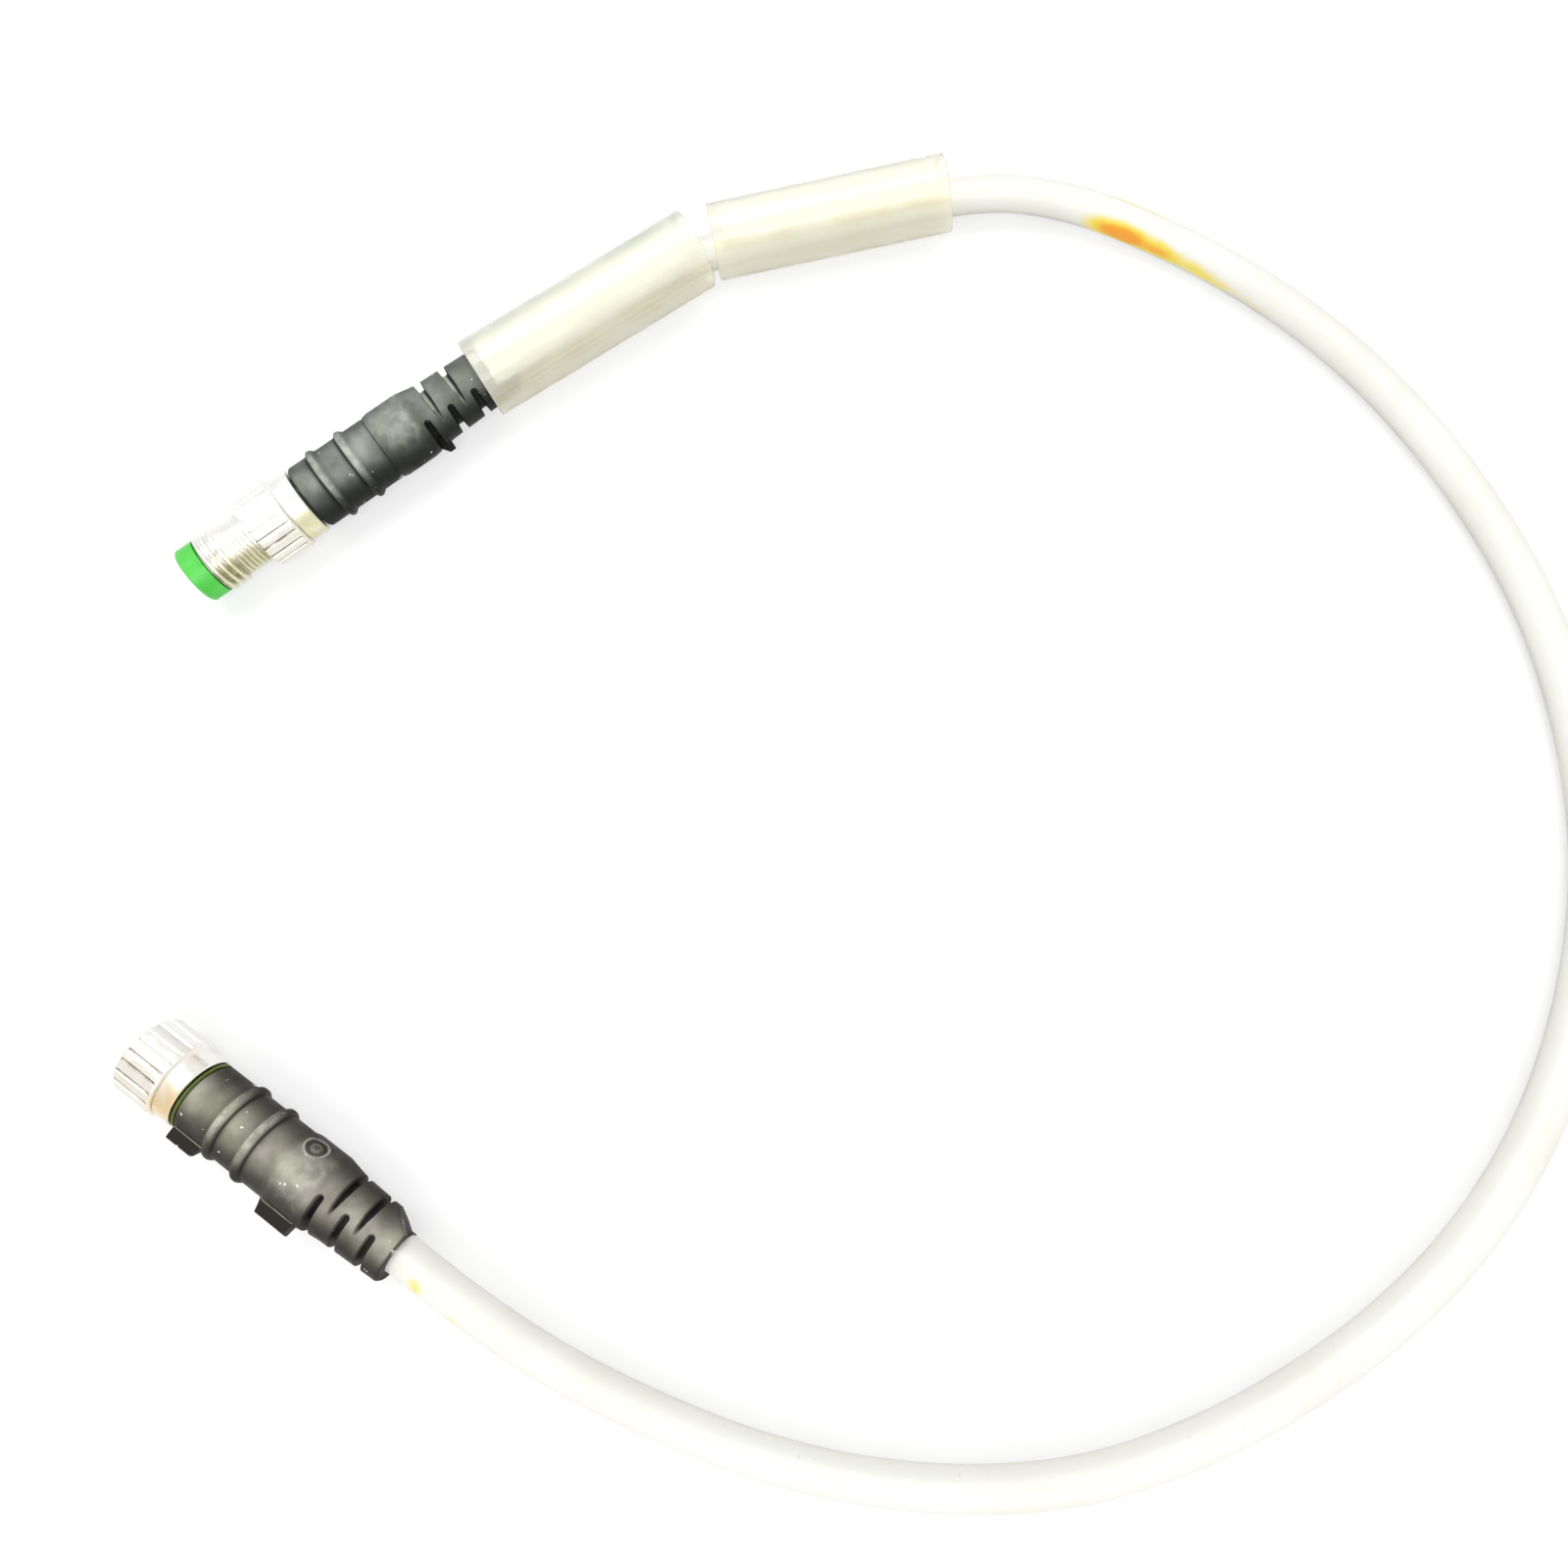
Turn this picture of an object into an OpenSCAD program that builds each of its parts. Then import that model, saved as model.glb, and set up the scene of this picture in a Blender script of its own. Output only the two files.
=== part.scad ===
// Short sensor and actuator patch cord: an M8 male screw plug and an M8 female
// socket on one round cable, with two clear label sleeves behind the plug.
// Millimetres. +X to the right, +Y away, +Z up; the cord lies on the plane z = 0.
// Each connector is drawn in its own frame: x = 0 at its cable exit, +X towards
// its mating face, +Y on the side of its key bar.

/* [Cable] */
// Outer diameter of the cable jacket
cable_d = 4.5; // [4.3:0.05:4.6]
// Diameter of one insulated wire
wire_d = 1.2; // [1.0:0.05:1.3]
// Diameter of the copper strands in one wire
strand_d = 0.6; // [0.4:0.05:0.7]
// Length of jacket held inside each moulded grip
jacket_in = 13; // [12:0.25:14]

/* [Contacts] */
// Radius of the circle on which the three contacts stand
contact_circle_r = 1.55; // [1.45:0.05:1.6]
// Diameter of a male contact pin
pin_d = 1.0; // [0.8:0.05:1.1]
// Outer diameter of a female contact tube
tube_d = 1.5; // [1.4:0.05:1.6]
// Diameter of a solder cup
cup_d = 1.3; // [1.2:0.05:1.5]
// Length of a solder cup
cup_len = 3; // [2.4:0.1:3.6]
// Distance of the male pin tips behind the rim of the plug
pin_recess = 1.7; // [1.2:0.1:2.5]

/* [Moulded grips] */
// Radius of the plain ring section behind the coupling
ring_r = 4.2; // [4.1:0.05:4.4]
// Height of a rib above the ring section
rib_h = 0.45; // [0.2:0.05:0.5]
// Distance between the two ribs
rib_pitch = 4.25; // [3.5:0.25:5]
// Distance from the second rib back to the step of the waist
step_len = 3.6; // [3:0.1:4.2]
// Radius of the waist where it is gripped
waist_r = 4.4; // [4.3:0.05:4.6]
// Distance from the step back to the first cable slot
waist_len = 8.3; // [7.5:0.1:9]
// Radius at the first cable slot
relief_r = 3.9; // [3.8:0.05:4.0]
// Radius at the cable end of the grip
tail_r = 3.6; // [3.5:0.05:3.75]
// Distance between two slots on the same side
slot_pitch = 3.55; // [3:0.05:4]
// Width of a slot
slot_w = 0.85; // [0.5:0.05:1.1]
// Radius left standing at the bottom of a slot
slot_floor_r = 2.85; // [2.7:0.05:3.2]
// Length of the bevelled cable end
bevel_len = 3; // [2.5:0.1:3.5]
// Thickness of the key bar, the lug and the fin
lug_w = 2.2; // [1.6:0.1:3]
// Depth of the carrier inside the grip
carrier_in = 5; // [4.2:0.1:6]

/* [Male plug] */
// Length of the ring section ahead of the first rib
male_front_len = 3.4; // [2.5:0.1:4.5]
// Length of plain relief between the bevel and the last slot
male_tail_len = 4.4; // [3.5:0.1:5]
// Outer radius of the shroud round the pins
shroud_r = 3.7; // [3.5:0.05:3.8]
// Length of the shroud ahead of the coupling screw
shroud_len = 2.5; // [2:0.1:3.5]
// Radius of the cavity inside the shroud
cavity_r = 2.55; // [2.45:0.05:2.6]
// Depth of the cavity
cavity_depth = 7; // [6:0.25:9]
// Length of the threaded front of the coupling screw
thread_len = 2.7; // [2.3:0.1:3.2]
// Length of the neck between thread and knurl
neck_len = 4; // [3:0.1:5]
// Radius of the neck
neck_r = 3.4; // [3.3:0.05:3.5]

/* [Female socket] */
// Length of the ring section ahead of the first rib
female_front_len = 5; // [4.8:0.1:6]
// Length of plain relief between the bevel and the last slot
female_tail_len = 1.4; // [1:0.1:2.4]
// Radius of the insulating insert that enters the plug
insert_r = 2.45; // [2.4:0.05:2.5]
// Distance of the insert behind the front of the nut
insert_recess = 0.6; // [0.2:0.1:1.2]
// Length of the internal thread of the nut
nut_thread_len = 5.2; // [4.2:0.1:5.3]
// Thickness of the green washer behind the nut
washer_t = 0.3; // [0.2:0.05:0.5]
// Cord diameter of the sealing ring
o_ring_d = 0.96; // [0.8:0.02:0.98]

/* [Coupling] */
// Outer radius of the fluted grip of the screw and the nut
knurl_r = 4.8; // [4.7:0.05:4.9]
// Length of the fluted grip of the screw
screw_knurl_len = 5; // [4:0.1:6]
// Length of the fluted grip of the nut
nut_knurl_len = 5.5; // [5:0.1:6.5]
// Number of flutes round the grip
flutes = 22; // [16:1:26]
// Radius of one flute
flute_r = 0.28; // [0.15:0.01:0.35]
// Radius of the smooth collar behind the flutes
collar_r = 4.4; // [4.25:0.05:4.5]
// Length of the smooth collar
collar_len = 2.7; // [2:0.1:3.2]
// Crest radius of the M8 thread
thread_r = 3.95; // [3.85:0.05:4.0]
// Pitch of the thread
thread_pitch = 1; // [0.8:0.05:1.1]
// Depth of the thread
thread_depth = 0.45; // [0.3:0.05:0.5]
// Radius of the carrier barrel on which the coupling turns
barrel_r = 2.95; // [2.85:0.05:2.95]
// Radial running clearance of the coupling on the barrel
running_gap = 0.05; // [0.02:0.01:0.08]
// Axial clearance at each end of the coupling
seam_gap = 0.3; // [0.2:0.05:0.5]

/* [Label sleeves] */
// Outer diameter of the sleeve over the plug's tail
sleeve_1_d = 10.2; // [10:0.1:10.6]
// Length of that sleeve
sleeve_1_len = 32.6; // [28:0.2:32.6]
// Outer diameter of the second sleeve
sleeve_2_d = 9.4; // [9.2:0.1:9.8]
// Length of the second sleeve
sleeve_2_len = 30.6; // [27:0.2:32]
// Wall of the clear sleeves
sleeve_wall = 0.5; // [0.4:0.05:0.6]
// Thickness of the curled label card
label_t = 0.15; // [0.1:0.05:0.25]
// Distance of each label card from both ends of its sleeve
label_inset = 1.5; // [1:0.1:5]
// Opening of the curled card, in degrees
label_gap_deg = 140; // [100:5:170]

/* [Hidden] */

$fn = 48;
eps = 0.01;          // overlap that joins touching solids
cut = 1;             // how far a cut runs past the face it opens
seat_gap = 0.03;     // clearance of nested parts that don't move
facet = 0.3;         // small edge chamfer

// Where each piece lies. The cable's route starts and ends at the two exits.
male_exit = [-8.5, 42.05, knurl_r];
male_yaw = 216.5;
male_roll = -38;                   // turned about its own axis, as it lies
female_exit = [-13, -65.75, knurl_r];
female_yaw = 146.8;
female_roll = 18;
male_lead = 6;                     // straight stretch of cable behind each exit
female_lead = 8;
sleeve_1_at = [-11.7, 39.65];      // plug end of the first sleeve's axis
sleeve_1_yaw = 32.7;
sleeve_2_yaw = 10.4;
sleeve_2_from = [-14, 52.55];      // where the second would start if the first had no length
sleeve_2_at = sleeve_2_from + sleeve_1_len * [cos(sleeve_2_yaw), sin(sleeve_2_yaw)];
label_1_edge_deg = 59;             // card's near edge, down from the top
label_2_edge_deg = 42;

// The grips, measured from the cable exit
function slot_2_x(tail_len) = bevel_len + tail_len;
function slot_1_x(tail_len) = slot_2_x(tail_len) + slot_pitch;
function step_x(tail_len) = slot_1_x(tail_len) + waist_len;
function rib_2_x(tail_len) = step_x(tail_len) + step_len;
function rib_1_x(tail_len) = rib_2_x(tail_len) + rib_pitch;
male_front = rib_1_x(male_tail_len) + male_front_len;
female_front = rib_1_x(female_tail_len) + female_front_len;
slot_reach = 1.5;                 // how far the far slots run past the centre
near_gap = 0.1;                   // how far the near slots stop short of it
bevel_slope = 0.65;
relief_swell = 0.15;              // the relief widens by this ahead of its slots
swell_len = 1.2;
waist_from = 3.2;                 // full waist, ahead of the first slot
step_slope = 0.9;
rib_crest = 0.45;                 // length of a rib's top and of its slopes
rib_back = 0.6;
rib_front = 0.35;
bar_root_r = ring_r - 0.6;        // where the bars are buried in the grip
bar_h = 1.25;
lug_len = 5.15;
lug_r = waist_r + bar_h;
lug_slope = 0.7;
key_len = 4.4;
key_r = ring_r + bar_h;
key_slope = 0.9;
fin_len = 2;
fin_r = waist_r + 0.6;
fin_slope = 1.1;
fin_gap = 0.6;                    // fin's distance ahead of the first slot
disc_gap = 2.3;                   // mark's distance behind the step
disc_r = 1.35;
disc_depth = 0.15;
disc_turn = 44;

// The coupling screw and the shroud of the male plug
screw_back = male_front + seam_gap;
screw_knurl = screw_back + collar_len;
screw_neck = screw_knurl + screw_knurl_len;
screw_thread = screw_neck + neck_len;
screw_front = screw_thread + thread_len;
shroud_back = screw_front + seam_gap / 2;
male_tip = shroud_back + shroud_len;
male_back = male_front - carrier_in;      // rear face of the male carrier

// The coupling nut, the flange and the insert of the female socket
washer_front = female_front + washer_t;
nut_back = washer_front + seam_gap;
nut_knurl = nut_back + collar_len;
nut_front = nut_knurl + nut_knurl_len;
lip_len = 1.6;
lip_front = nut_back + lip_len;
flange_back = lip_front + seam_gap;
flange_len = 0.6;
flange_front = flange_back + flange_len;
insert_front = nut_front - insert_recess;
female_back = female_front - carrier_in;  // rear face of the female carrier

thread_root_r = thread_r - thread_depth;
flange_r = thread_root_r - seat_gap * 2;
bore_r = barrel_r + running_gap;
premould_r = 3.1;
anchor_r = barrel_r - 0.4;        // groove that locks a carrier in its grip
anchor_from = 3.6;
anchor_to = 2.4;
strand_r = strand_d / 2;
cup_hole_r = strand_r + 0.12;
slit_w = 0.2;                     // slits of a contact tube
slit_len = 3;
ridge_pitch = 0.6;                // fine rings round the screw's neck
ridge_h = 0.15;
ridge_start = 0.5;
flanks = [0.10, 0.35, 0.65, 0.90];        // foot and crest of a thread, in parts of its pitch
tube_hole_r = pin_d / 2 + 0.03;
mouth_r = pin_d / 2 + 0.05;
mouth_len = 0.8;
wire_strip = 1;                   // bare length ahead of the insulation
wire_start = 0.1;
wire_in_r = wire_d / sqrt(3) + 0.01;      // three wires touching in the jacket
wire_turns = [30, 150, 270];      // brown, blue, black
key_w = 0.9;
key_h = 0.3;

// Offset of a wire from the axis at x, on its way to the contact circle
function wire_off(x, back) =
    wire_in_r + (contact_circle_r - wire_in_r) * x / (back - cup_len);
function jacket_bore_r(back) = wire_off(jacket_in, back) + wire_d / 2 + 0.04;

function ahead(yaw, d) = [d * cos(yaw), d * sin(yaw), 0];

// Centre line of the cable from the male exit to the female exit
route = concat(
    [male_exit, male_exit - ahead(male_yaw, male_lead)],
    [
        [5, 51.5, 4.6], [12.5, 55.7, 4.1], [20.5, 58.5, 3.7], [29, 60.7, 3.3],
        [38.5, 62.7, 3.2], [48, 64.4, 3.2], [56.5, 64.6, 3.1], [65, 62.6, 2.8],
        [73, 58.8, 2.5], [81.5, 53.4, 2.3], [89.5, 46.9, 2.3], [96.6, 39.4, 2.3],
        [103, 30.6, 2.3], [108.2, 21.3, 2.3], [112.3, 11.5, 2.3], [115.1, 1, 2.3],
        [116.4, -9.5, 2.3], [116.3, -20, 2.3], [114.6, -30.7, 2.3],
        [111.2, -41.5, 2.3], [106, -52, 2.3], [99.1, -61.5, 2.3],
        [90.5, -69.7, 2.3], [80.7, -76.5, 2.3], [70.1, -82, 2.3],
        [59, -85.7, 2.3], [47.5, -87.1, 2.3], [36, -86.6, 2.3],
        [25, -84.5, 2.4], [14.4, -81, 2.8], [4.2, -76.4, 3.6],
    ],
    [female_exit - ahead(female_yaw, female_lead), female_exit]
);
cable_sides = 10;

module at_male() translate(male_exit) rotate([0, 0, male_yaw]) rotate([male_roll, 0, 0]) children();
module at_female()
    translate(female_exit) rotate([0, 0, female_yaw]) rotate([female_roll, 0, 0]) children();

// Solid of revolution about X from points [x, radius]
module turned(points)
    rotate([0, 90, 0]) rotate_extrude() polygon([for (p = points) [p[1], p[0]]]);

// Round bar along X
module bar(x0, x1, r) translate([x0, 0, 0]) rotate([0, 90, 0]) cylinder(h = x1 - x0, r = r);

// Round bar between two points
module rod(p, q, r) {
    d = q - p;
    translate(p) rotate([0, acos(d[2] / norm(d)), atan2(d[1], d[0])])
        cylinder(h = norm(d), r = r);
}

// A bar on the contact circle, one for each of the given angles
module on_circle(turns) for (a = turns)
    translate([0, contact_circle_r * cos(a), contact_circle_r * sin(a)]) children();

// The slanting line of one wire, from x0 to x1
module wire_line(turn, back, x0, x1, r) {
    function at(x) = [x, wire_off(x, back) * cos(turn), wire_off(x, back) * sin(turn)];
    rod(at(x0), at(x1), r);
}

// Flat bar from x0 to x1 on the key side, up to radius top_r, with a slope at either end
module side_bar(x0, x1, top_r, back_slope, front_slope)
    translate([0, 0, -lug_w / 2]) linear_extrude(lug_w) polygon([
        [x1, bar_root_r], [x1 - front_slope, top_r], [x0 + back_slope, top_r], [x0, bar_root_r],
    ]);

// Half ring cut for one cable slot, centred on x
module slot(x, near_side) {
    reach = near_side ? near_gap : -slot_reach;
    side = near_side ? 1 : -1;
    intersection() {
        difference() {
            bar(x - slot_w / 2, x + slot_w / 2, waist_r + cut);
            bar(x - slot_w, x + slot_w, slot_floor_r);
        }
        translate([x, side * (reach + waist_r + cut), 0])
            cube([slot_w * 3, 2 * (waist_r + cut), 4 * waist_r], center = true);
    }
}

// Points of one rib round a grip, with its top centred on x
function rib(x) = [
    [x - rib_crest / 2 - rib_back, ring_r], [x - rib_crest / 2, ring_r + rib_h],
    [x + rib_crest / 2, ring_r + rib_h], [x + rib_crest / 2 + rib_front, ring_r],
];

// Outer form of a moulded grip with its slots, bevel and two ribs
module grip_form(tail_len, front) {
    s1 = slot_1_x(tail_len);
    s2 = slot_2_x(tail_len);
    st = step_x(tail_len);
    difference() {
        turned(concat(
            [
                [0, 0], [0, tail_r - facet], [facet, tail_r], [s1, relief_r],
                [s1 + swell_len, relief_r + relief_swell], [s1 + waist_from, waist_r],
                [st - step_slope, waist_r], [st, ring_r],
            ],
            rib(rib_2_x(tail_len)), rib(rib_1_x(tail_len)),
            [[front - facet, ring_r], [front, ring_r - facet], [front, 0]]
        ));
        slot(s1, false);
        slot(s2, false);
        for (k = [-3, -1, 1]) slot(s1 + k * slot_pitch / 2, true);
        translate([bevel_len, -tail_r, 0]) rotate([0, 0, -atan(bevel_slope)])
            translate([-4 * bevel_len, -2 * tail_r, -2 * tail_r])
                cube([4 * bevel_len, 2 * tail_r, 4 * tail_r]);
    }
}

// Hollow of a moulded grip: jacket, premould and locked carrier
module grip_hollow(front) {
    jacket_r = cable_d / 2 + seat_gap;
    mould_r = premould_r + seat_gap;
    seat_r = barrel_r + seat_gap;
    lock_r = anchor_r + seat_gap;
    back = front - carrier_in;
    turned([
        [-cut, 0], [-cut, jacket_r], [jacket_in, jacket_r], [jacket_in, mould_r],
        [back, mould_r], [back, seat_r], [front - anchor_from, seat_r],
        [front - anchor_from, lock_r], [front - anchor_to, lock_r],
        [front - anchor_to, seat_r], [front + cut, seat_r], [front + cut, 0],
    ]);
}

module male_grip() color([0.10, 0.10, 0.10]) at_male() {
    s1 = slot_1_x(male_tail_len);
    difference() {
        union() {
            grip_form(male_tail_len, male_front);
            intersection() {
                side_bar(s1 + fin_gap, s1 + fin_gap + fin_len, fin_r, 0, fin_slope);
                bar(0, male_front, fin_r);
            }
        }
        grip_hollow(male_front);
    }
}

module female_grip() color([0.10, 0.10, 0.10]) at_female() {
    st = step_x(female_tail_len);
    difference() {
        union() {
            grip_form(female_tail_len, female_front);
            side_bar(st - lug_len, st, lug_r, facet / 2, lug_slope);
            side_bar(female_front - key_len, female_front, key_r, key_slope, 0);
        }
        grip_hollow(female_front);
        rotate([disc_turn, 0, 0]) translate([st - disc_gap, 0, waist_r - disc_depth])
            cylinder(h = cut, r = disc_r);
    }
}

// Captive end of the cable jacket inside a grip
module jacket_end(back) difference() {
    bar(0, jacket_in - seat_gap, cable_d / 2);
    bar(-cut, jacket_in + cut, jacket_bore_r(back));
}

module male_jacket_end() color([0.90, 0.89, 0.84]) at_male() jacket_end(male_back);
module female_jacket_end() color([0.90, 0.89, 0.84]) at_female() jacket_end(female_back);

// Hard inner moulding round the solder cups and the fanned-out wires
module premould(back, cup_r) difference() {
    bar(jacket_in, back - seat_gap, premould_r);
    for (a = wire_turns) wire_line(a, back, 0, back, wire_d / 2 + seat_gap);
    on_circle(wire_turns) bar(back - cup_len - seat_gap, back + cut, cup_r + seat_gap);
}

module male_premould() color([0.80, 0.78, 0.70]) at_male() premould(male_back, cup_d / 2);
module female_premould() color([0.80, 0.78, 0.70]) at_female()
    premould(female_back, tube_d / 2);

// One insulated wire, stripped before its solder cup
module wire(turn, back) difference() {
    wire_line(turn, back, wire_start, back - cup_len - wire_strip, wire_d / 2);
    wire_line(turn, back, -cut, back, strand_r + seat_gap);
}

// Copper strands of the three wires, ending in the solder cups
module strands(back) for (a = wire_turns)
    wire_line(a, back, wire_start, back - cup_len / 3, strand_r);

module male_wire_brown() color([0.36, 0.20, 0.11]) at_male() wire(wire_turns[0], male_back);
module male_wire_blue() color([0.10, 0.25, 0.62]) at_male() wire(wire_turns[1], male_back);
module male_wire_black() color([0.07, 0.07, 0.07]) at_male() wire(wire_turns[2], male_back);
module male_strands() color([0.72, 0.42, 0.24]) at_male() strands(male_back);
module female_wire_brown() color([0.36, 0.20, 0.11]) at_female()
    wire(wire_turns[0], female_back);
module female_wire_blue() color([0.10, 0.25, 0.62]) at_female()
    wire(wire_turns[1], female_back);
module female_wire_black() color([0.07, 0.07, 0.07]) at_female()
    wire(wire_turns[2], female_back);
module female_strands() color([0.72, 0.42, 0.24]) at_female() strands(female_back);

// Green insulating carrier of the plug, with the open shroud round the pins
module male_carrier() color([0.20, 0.78, 0.22]) at_male() difference() {
    turned([
        [male_back, 0], [male_back, barrel_r], [male_front - anchor_from, barrel_r],
        [male_front - anchor_from, anchor_r], [male_front - anchor_to, anchor_r],
        [male_front - anchor_to, barrel_r], [shroud_back, barrel_r],
        [shroud_back, shroud_r], [male_tip - facet, shroud_r],
        [male_tip, shroud_r - facet], [male_tip, 0],
    ]);
    bar(male_tip - cavity_depth, male_tip + cut, cavity_r);
    translate([male_tip - cavity_depth, -key_w / 2, 0])
        cube([cavity_depth + cut, key_w, cavity_r + key_h / 2]);
    on_circle(wire_turns) bar(male_back - cut, male_tip, pin_d / 2 + seat_gap);
}

// Three contact pins with solder cups
module male_pins() color([0.85, 0.68, 0.32]) at_male() on_circle(wire_turns) difference() {
    turned([
        [male_back - cup_len, 0], [male_back - cup_len, cup_d / 2],
        [male_back - seat_gap, cup_d / 2], [male_back - seat_gap, pin_d / 2],
        [male_tip - pin_recess - facet, pin_d / 2], [male_tip - pin_recess, pin_d / 4],
        [male_tip - pin_recess, 0],
    ]);
    bar(male_back - cup_len - cut, male_back - cup_len / 4, cup_hole_r);
}

// Flutes cut along a fluted grip from x0 to x1
module flute_cuts(x0, x1) for (i = [0 : flutes - 1]) rotate([i * 360 / flutes, 0, 0])
    translate([0, 0, knurl_r + flute_r / 3]) bar(x0, x1, flute_r);

// Points of thread crests and roots from x0 to x1, for a turned outline
function thread_points(x0, x1, crest_r, root_r) =
    [for (k = [0 : floor((x1 - x0) / thread_pitch + eps) - 1]) each [
        [x0 + (k + flanks[0]) * thread_pitch, root_r],
        [x0 + (k + flanks[1]) * thread_pitch, crest_r],
        [x0 + (k + flanks[2]) * thread_pitch, crest_r],
        [x0 + (k + flanks[3]) * thread_pitch, root_r],
    ]];

// Screw that turns on the plug's carrier: thread, grooved neck, flutes and collar
module coupling_screw() color([0.80, 0.79, 0.76]) at_male() difference() {
    turned(concat(
        [
            [screw_back, 0], [screw_back, collar_r - facet / 2],
            [screw_back + facet / 2, collar_r], [screw_knurl - facet, collar_r],
            [screw_knurl, knurl_r], [screw_neck - facet, knurl_r],
            [screw_neck, knurl_r - 1.5 * facet], [screw_neck, neck_r],
        ],
        [for (k = [0 : floor((neck_len - 2 * ridge_start) / ridge_pitch) - 1])
            let (x = screw_neck + ridge_start + k * ridge_pitch)
            each [
                [x, neck_r], [x + ridge_pitch / 6, neck_r + ridge_h],
                [x + ridge_pitch / 2, neck_r + ridge_h], [x + ridge_pitch * 2 / 3, neck_r],
            ]],
        [[screw_thread - facet, neck_r], [screw_thread - facet, thread_root_r]],
        thread_points(screw_front - floor(thread_len) * thread_pitch, screw_front,
            thread_r, thread_root_r),
        [[screw_front, thread_root_r], [screw_front, 0]]
    ));
    bar(screw_back - cut, screw_front + cut, bore_r);
    flute_cuts(screw_knurl, screw_neck + cut);
}

// Green insulating carrier of the socket: flange, keyed insert, three contact holes
module female_carrier() color([0.20, 0.78, 0.22]) at_female() difference() {
    union() {
        turned([
            [female_back, 0], [female_back, barrel_r],
            [female_front - anchor_from, barrel_r], [female_front - anchor_from, anchor_r],
            [female_front - anchor_to, anchor_r], [female_front - anchor_to, barrel_r],
            [flange_back, barrel_r], [flange_back, flange_r], [flange_front, flange_r],
            [flange_front, insert_r], [insert_front - facet / 2, insert_r],
            [insert_front, insert_r - facet / 2], [insert_front, 0],
        ]);
        translate([flange_front + o_ring_d + seat_gap * 2, -key_w / 2 + 0.1, 0])
            cube([insert_front - flange_front - o_ring_d - 1, key_w - 0.2, insert_r + key_h / 4]);
    }
    on_circle(wire_turns) bar(insert_front - mouth_len - eps, insert_front + cut, mouth_r);
    on_circle(wire_turns)
        bar(female_back - cut, insert_front - mouth_len, tube_d / 2 + seat_gap);
}

// Three spring contact tubes with solder cups
module female_contacts() color([0.85, 0.68, 0.32]) at_female() on_circle(wire_turns)
    difference() {
        bar(female_back - cup_len, insert_front - mouth_len - seat_gap, tube_d / 2);
        bar(insert_front - cavity_depth, insert_front, tube_hole_r);
        bar(female_back - cup_len - cut, female_back - cup_len / 4, cup_hole_r);
        for (a = [0, 90]) rotate([a, 0, 0])
            translate([insert_front - mouth_len - slit_len, -slit_w / 2, -tube_d])
                cube([slit_len + cut, slit_w, 2 * tube_d]);
    }

module female_o_ring() color([0.06, 0.06, 0.06]) at_female()
    translate([flange_front + o_ring_d / 2 + seat_gap, 0, 0]) rotate([0, 90, 0])
        rotate_extrude() translate([insert_r + seat_gap + o_ring_d / 2, 0])
            circle(d = o_ring_d);

module female_washer() color([0.35, 0.75, 0.15]) at_female() difference() {
    bar(female_front, washer_front, ring_r);
    bar(female_front - cut, washer_front + cut, barrel_r + seat_gap);
}

// Nut that turns on the socket's carrier: inner thread, flutes and collar
module coupling_nut() color([0.80, 0.79, 0.76]) at_female() difference() {
    turned([
        [nut_back, 0], [nut_back, collar_r - facet / 2], [nut_back + facet / 2, collar_r],
        [nut_knurl - facet, collar_r], [nut_knurl, knurl_r],
        [nut_front - facet, knurl_r], [nut_front, knurl_r - facet], [nut_front, 0],
    ]);
    turned(concat(
        [[lip_front, 0], [lip_front, thread_r], [nut_front - nut_thread_len, thread_r]],
        [[nut_front - nut_thread_len, thread_root_r]],
        thread_points(nut_front - nut_thread_len, nut_front - facet, thread_r, thread_root_r),
        [
            [nut_front - facet + 0.1, thread_root_r], [nut_front, thread_r],
            [nut_front + cut, thread_r], [nut_front + cut, 0],
        ]
    ));
    bar(nut_back - cut, lip_front + cut, bore_r);
    flute_cuts(nut_knurl, nut_front + cut);
}

// Clear tube lying on the plane z = 0, from its plug end along its yaw
module sleeve(place, yaw, d, len) translate([place[0], place[1], d / 2]) rotate([0, 0, yaw])
    difference() {
        bar(0, len, d / 2);
        bar(-cut, len + cut, d / 2 - sleeve_wall);
    }

// Curled card inside a sleeve. It covers the top and the far side, down from its near edge.
module card(place, yaw, d, sleeve_len, edge_deg)
    translate([place[0], place[1], d / 2]) rotate([0, 0, yaw]) {
        outer = d / 2 - sleeve_wall - running_gap;
        start = label_inset;
        label_len = sleeve_len - 2 * label_inset;
        steps = 4;
        difference() {
            bar(start, start + label_len, outer);
            bar(start - cut, start + label_len + cut, outer - label_t);
            translate([start - cut, 0, 0]) rotate([90, 0, 90])
                linear_extrude(label_len + 2 * cut) polygon(concat([[0, 0]], [
                    for (k = [0 : steps]) let (a = edge_deg + label_gap_deg * k / steps)
                        [-d * sin(a), d * cos(a)],
                ]));
        }
    }

module label_sleeve_1() color([0.88, 0.90, 0.84, 0.35])
    sleeve(sleeve_1_at, sleeve_1_yaw, sleeve_1_d, sleeve_1_len);
module label_card_1() color([0.97, 0.97, 0.95])
    card(sleeve_1_at, sleeve_1_yaw, sleeve_1_d, sleeve_1_len, label_1_edge_deg);
module label_sleeve_2() color([0.88, 0.90, 0.84, 0.35])
    sleeve(sleeve_2_at, sleeve_2_yaw, sleeve_2_d, sleeve_2_len);
module label_card_2() color([0.97, 0.97, 0.95])
    card(sleeve_2_at, sleeve_2_yaw, sleeve_2_d, sleeve_2_len, label_2_edge_deg);

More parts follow.
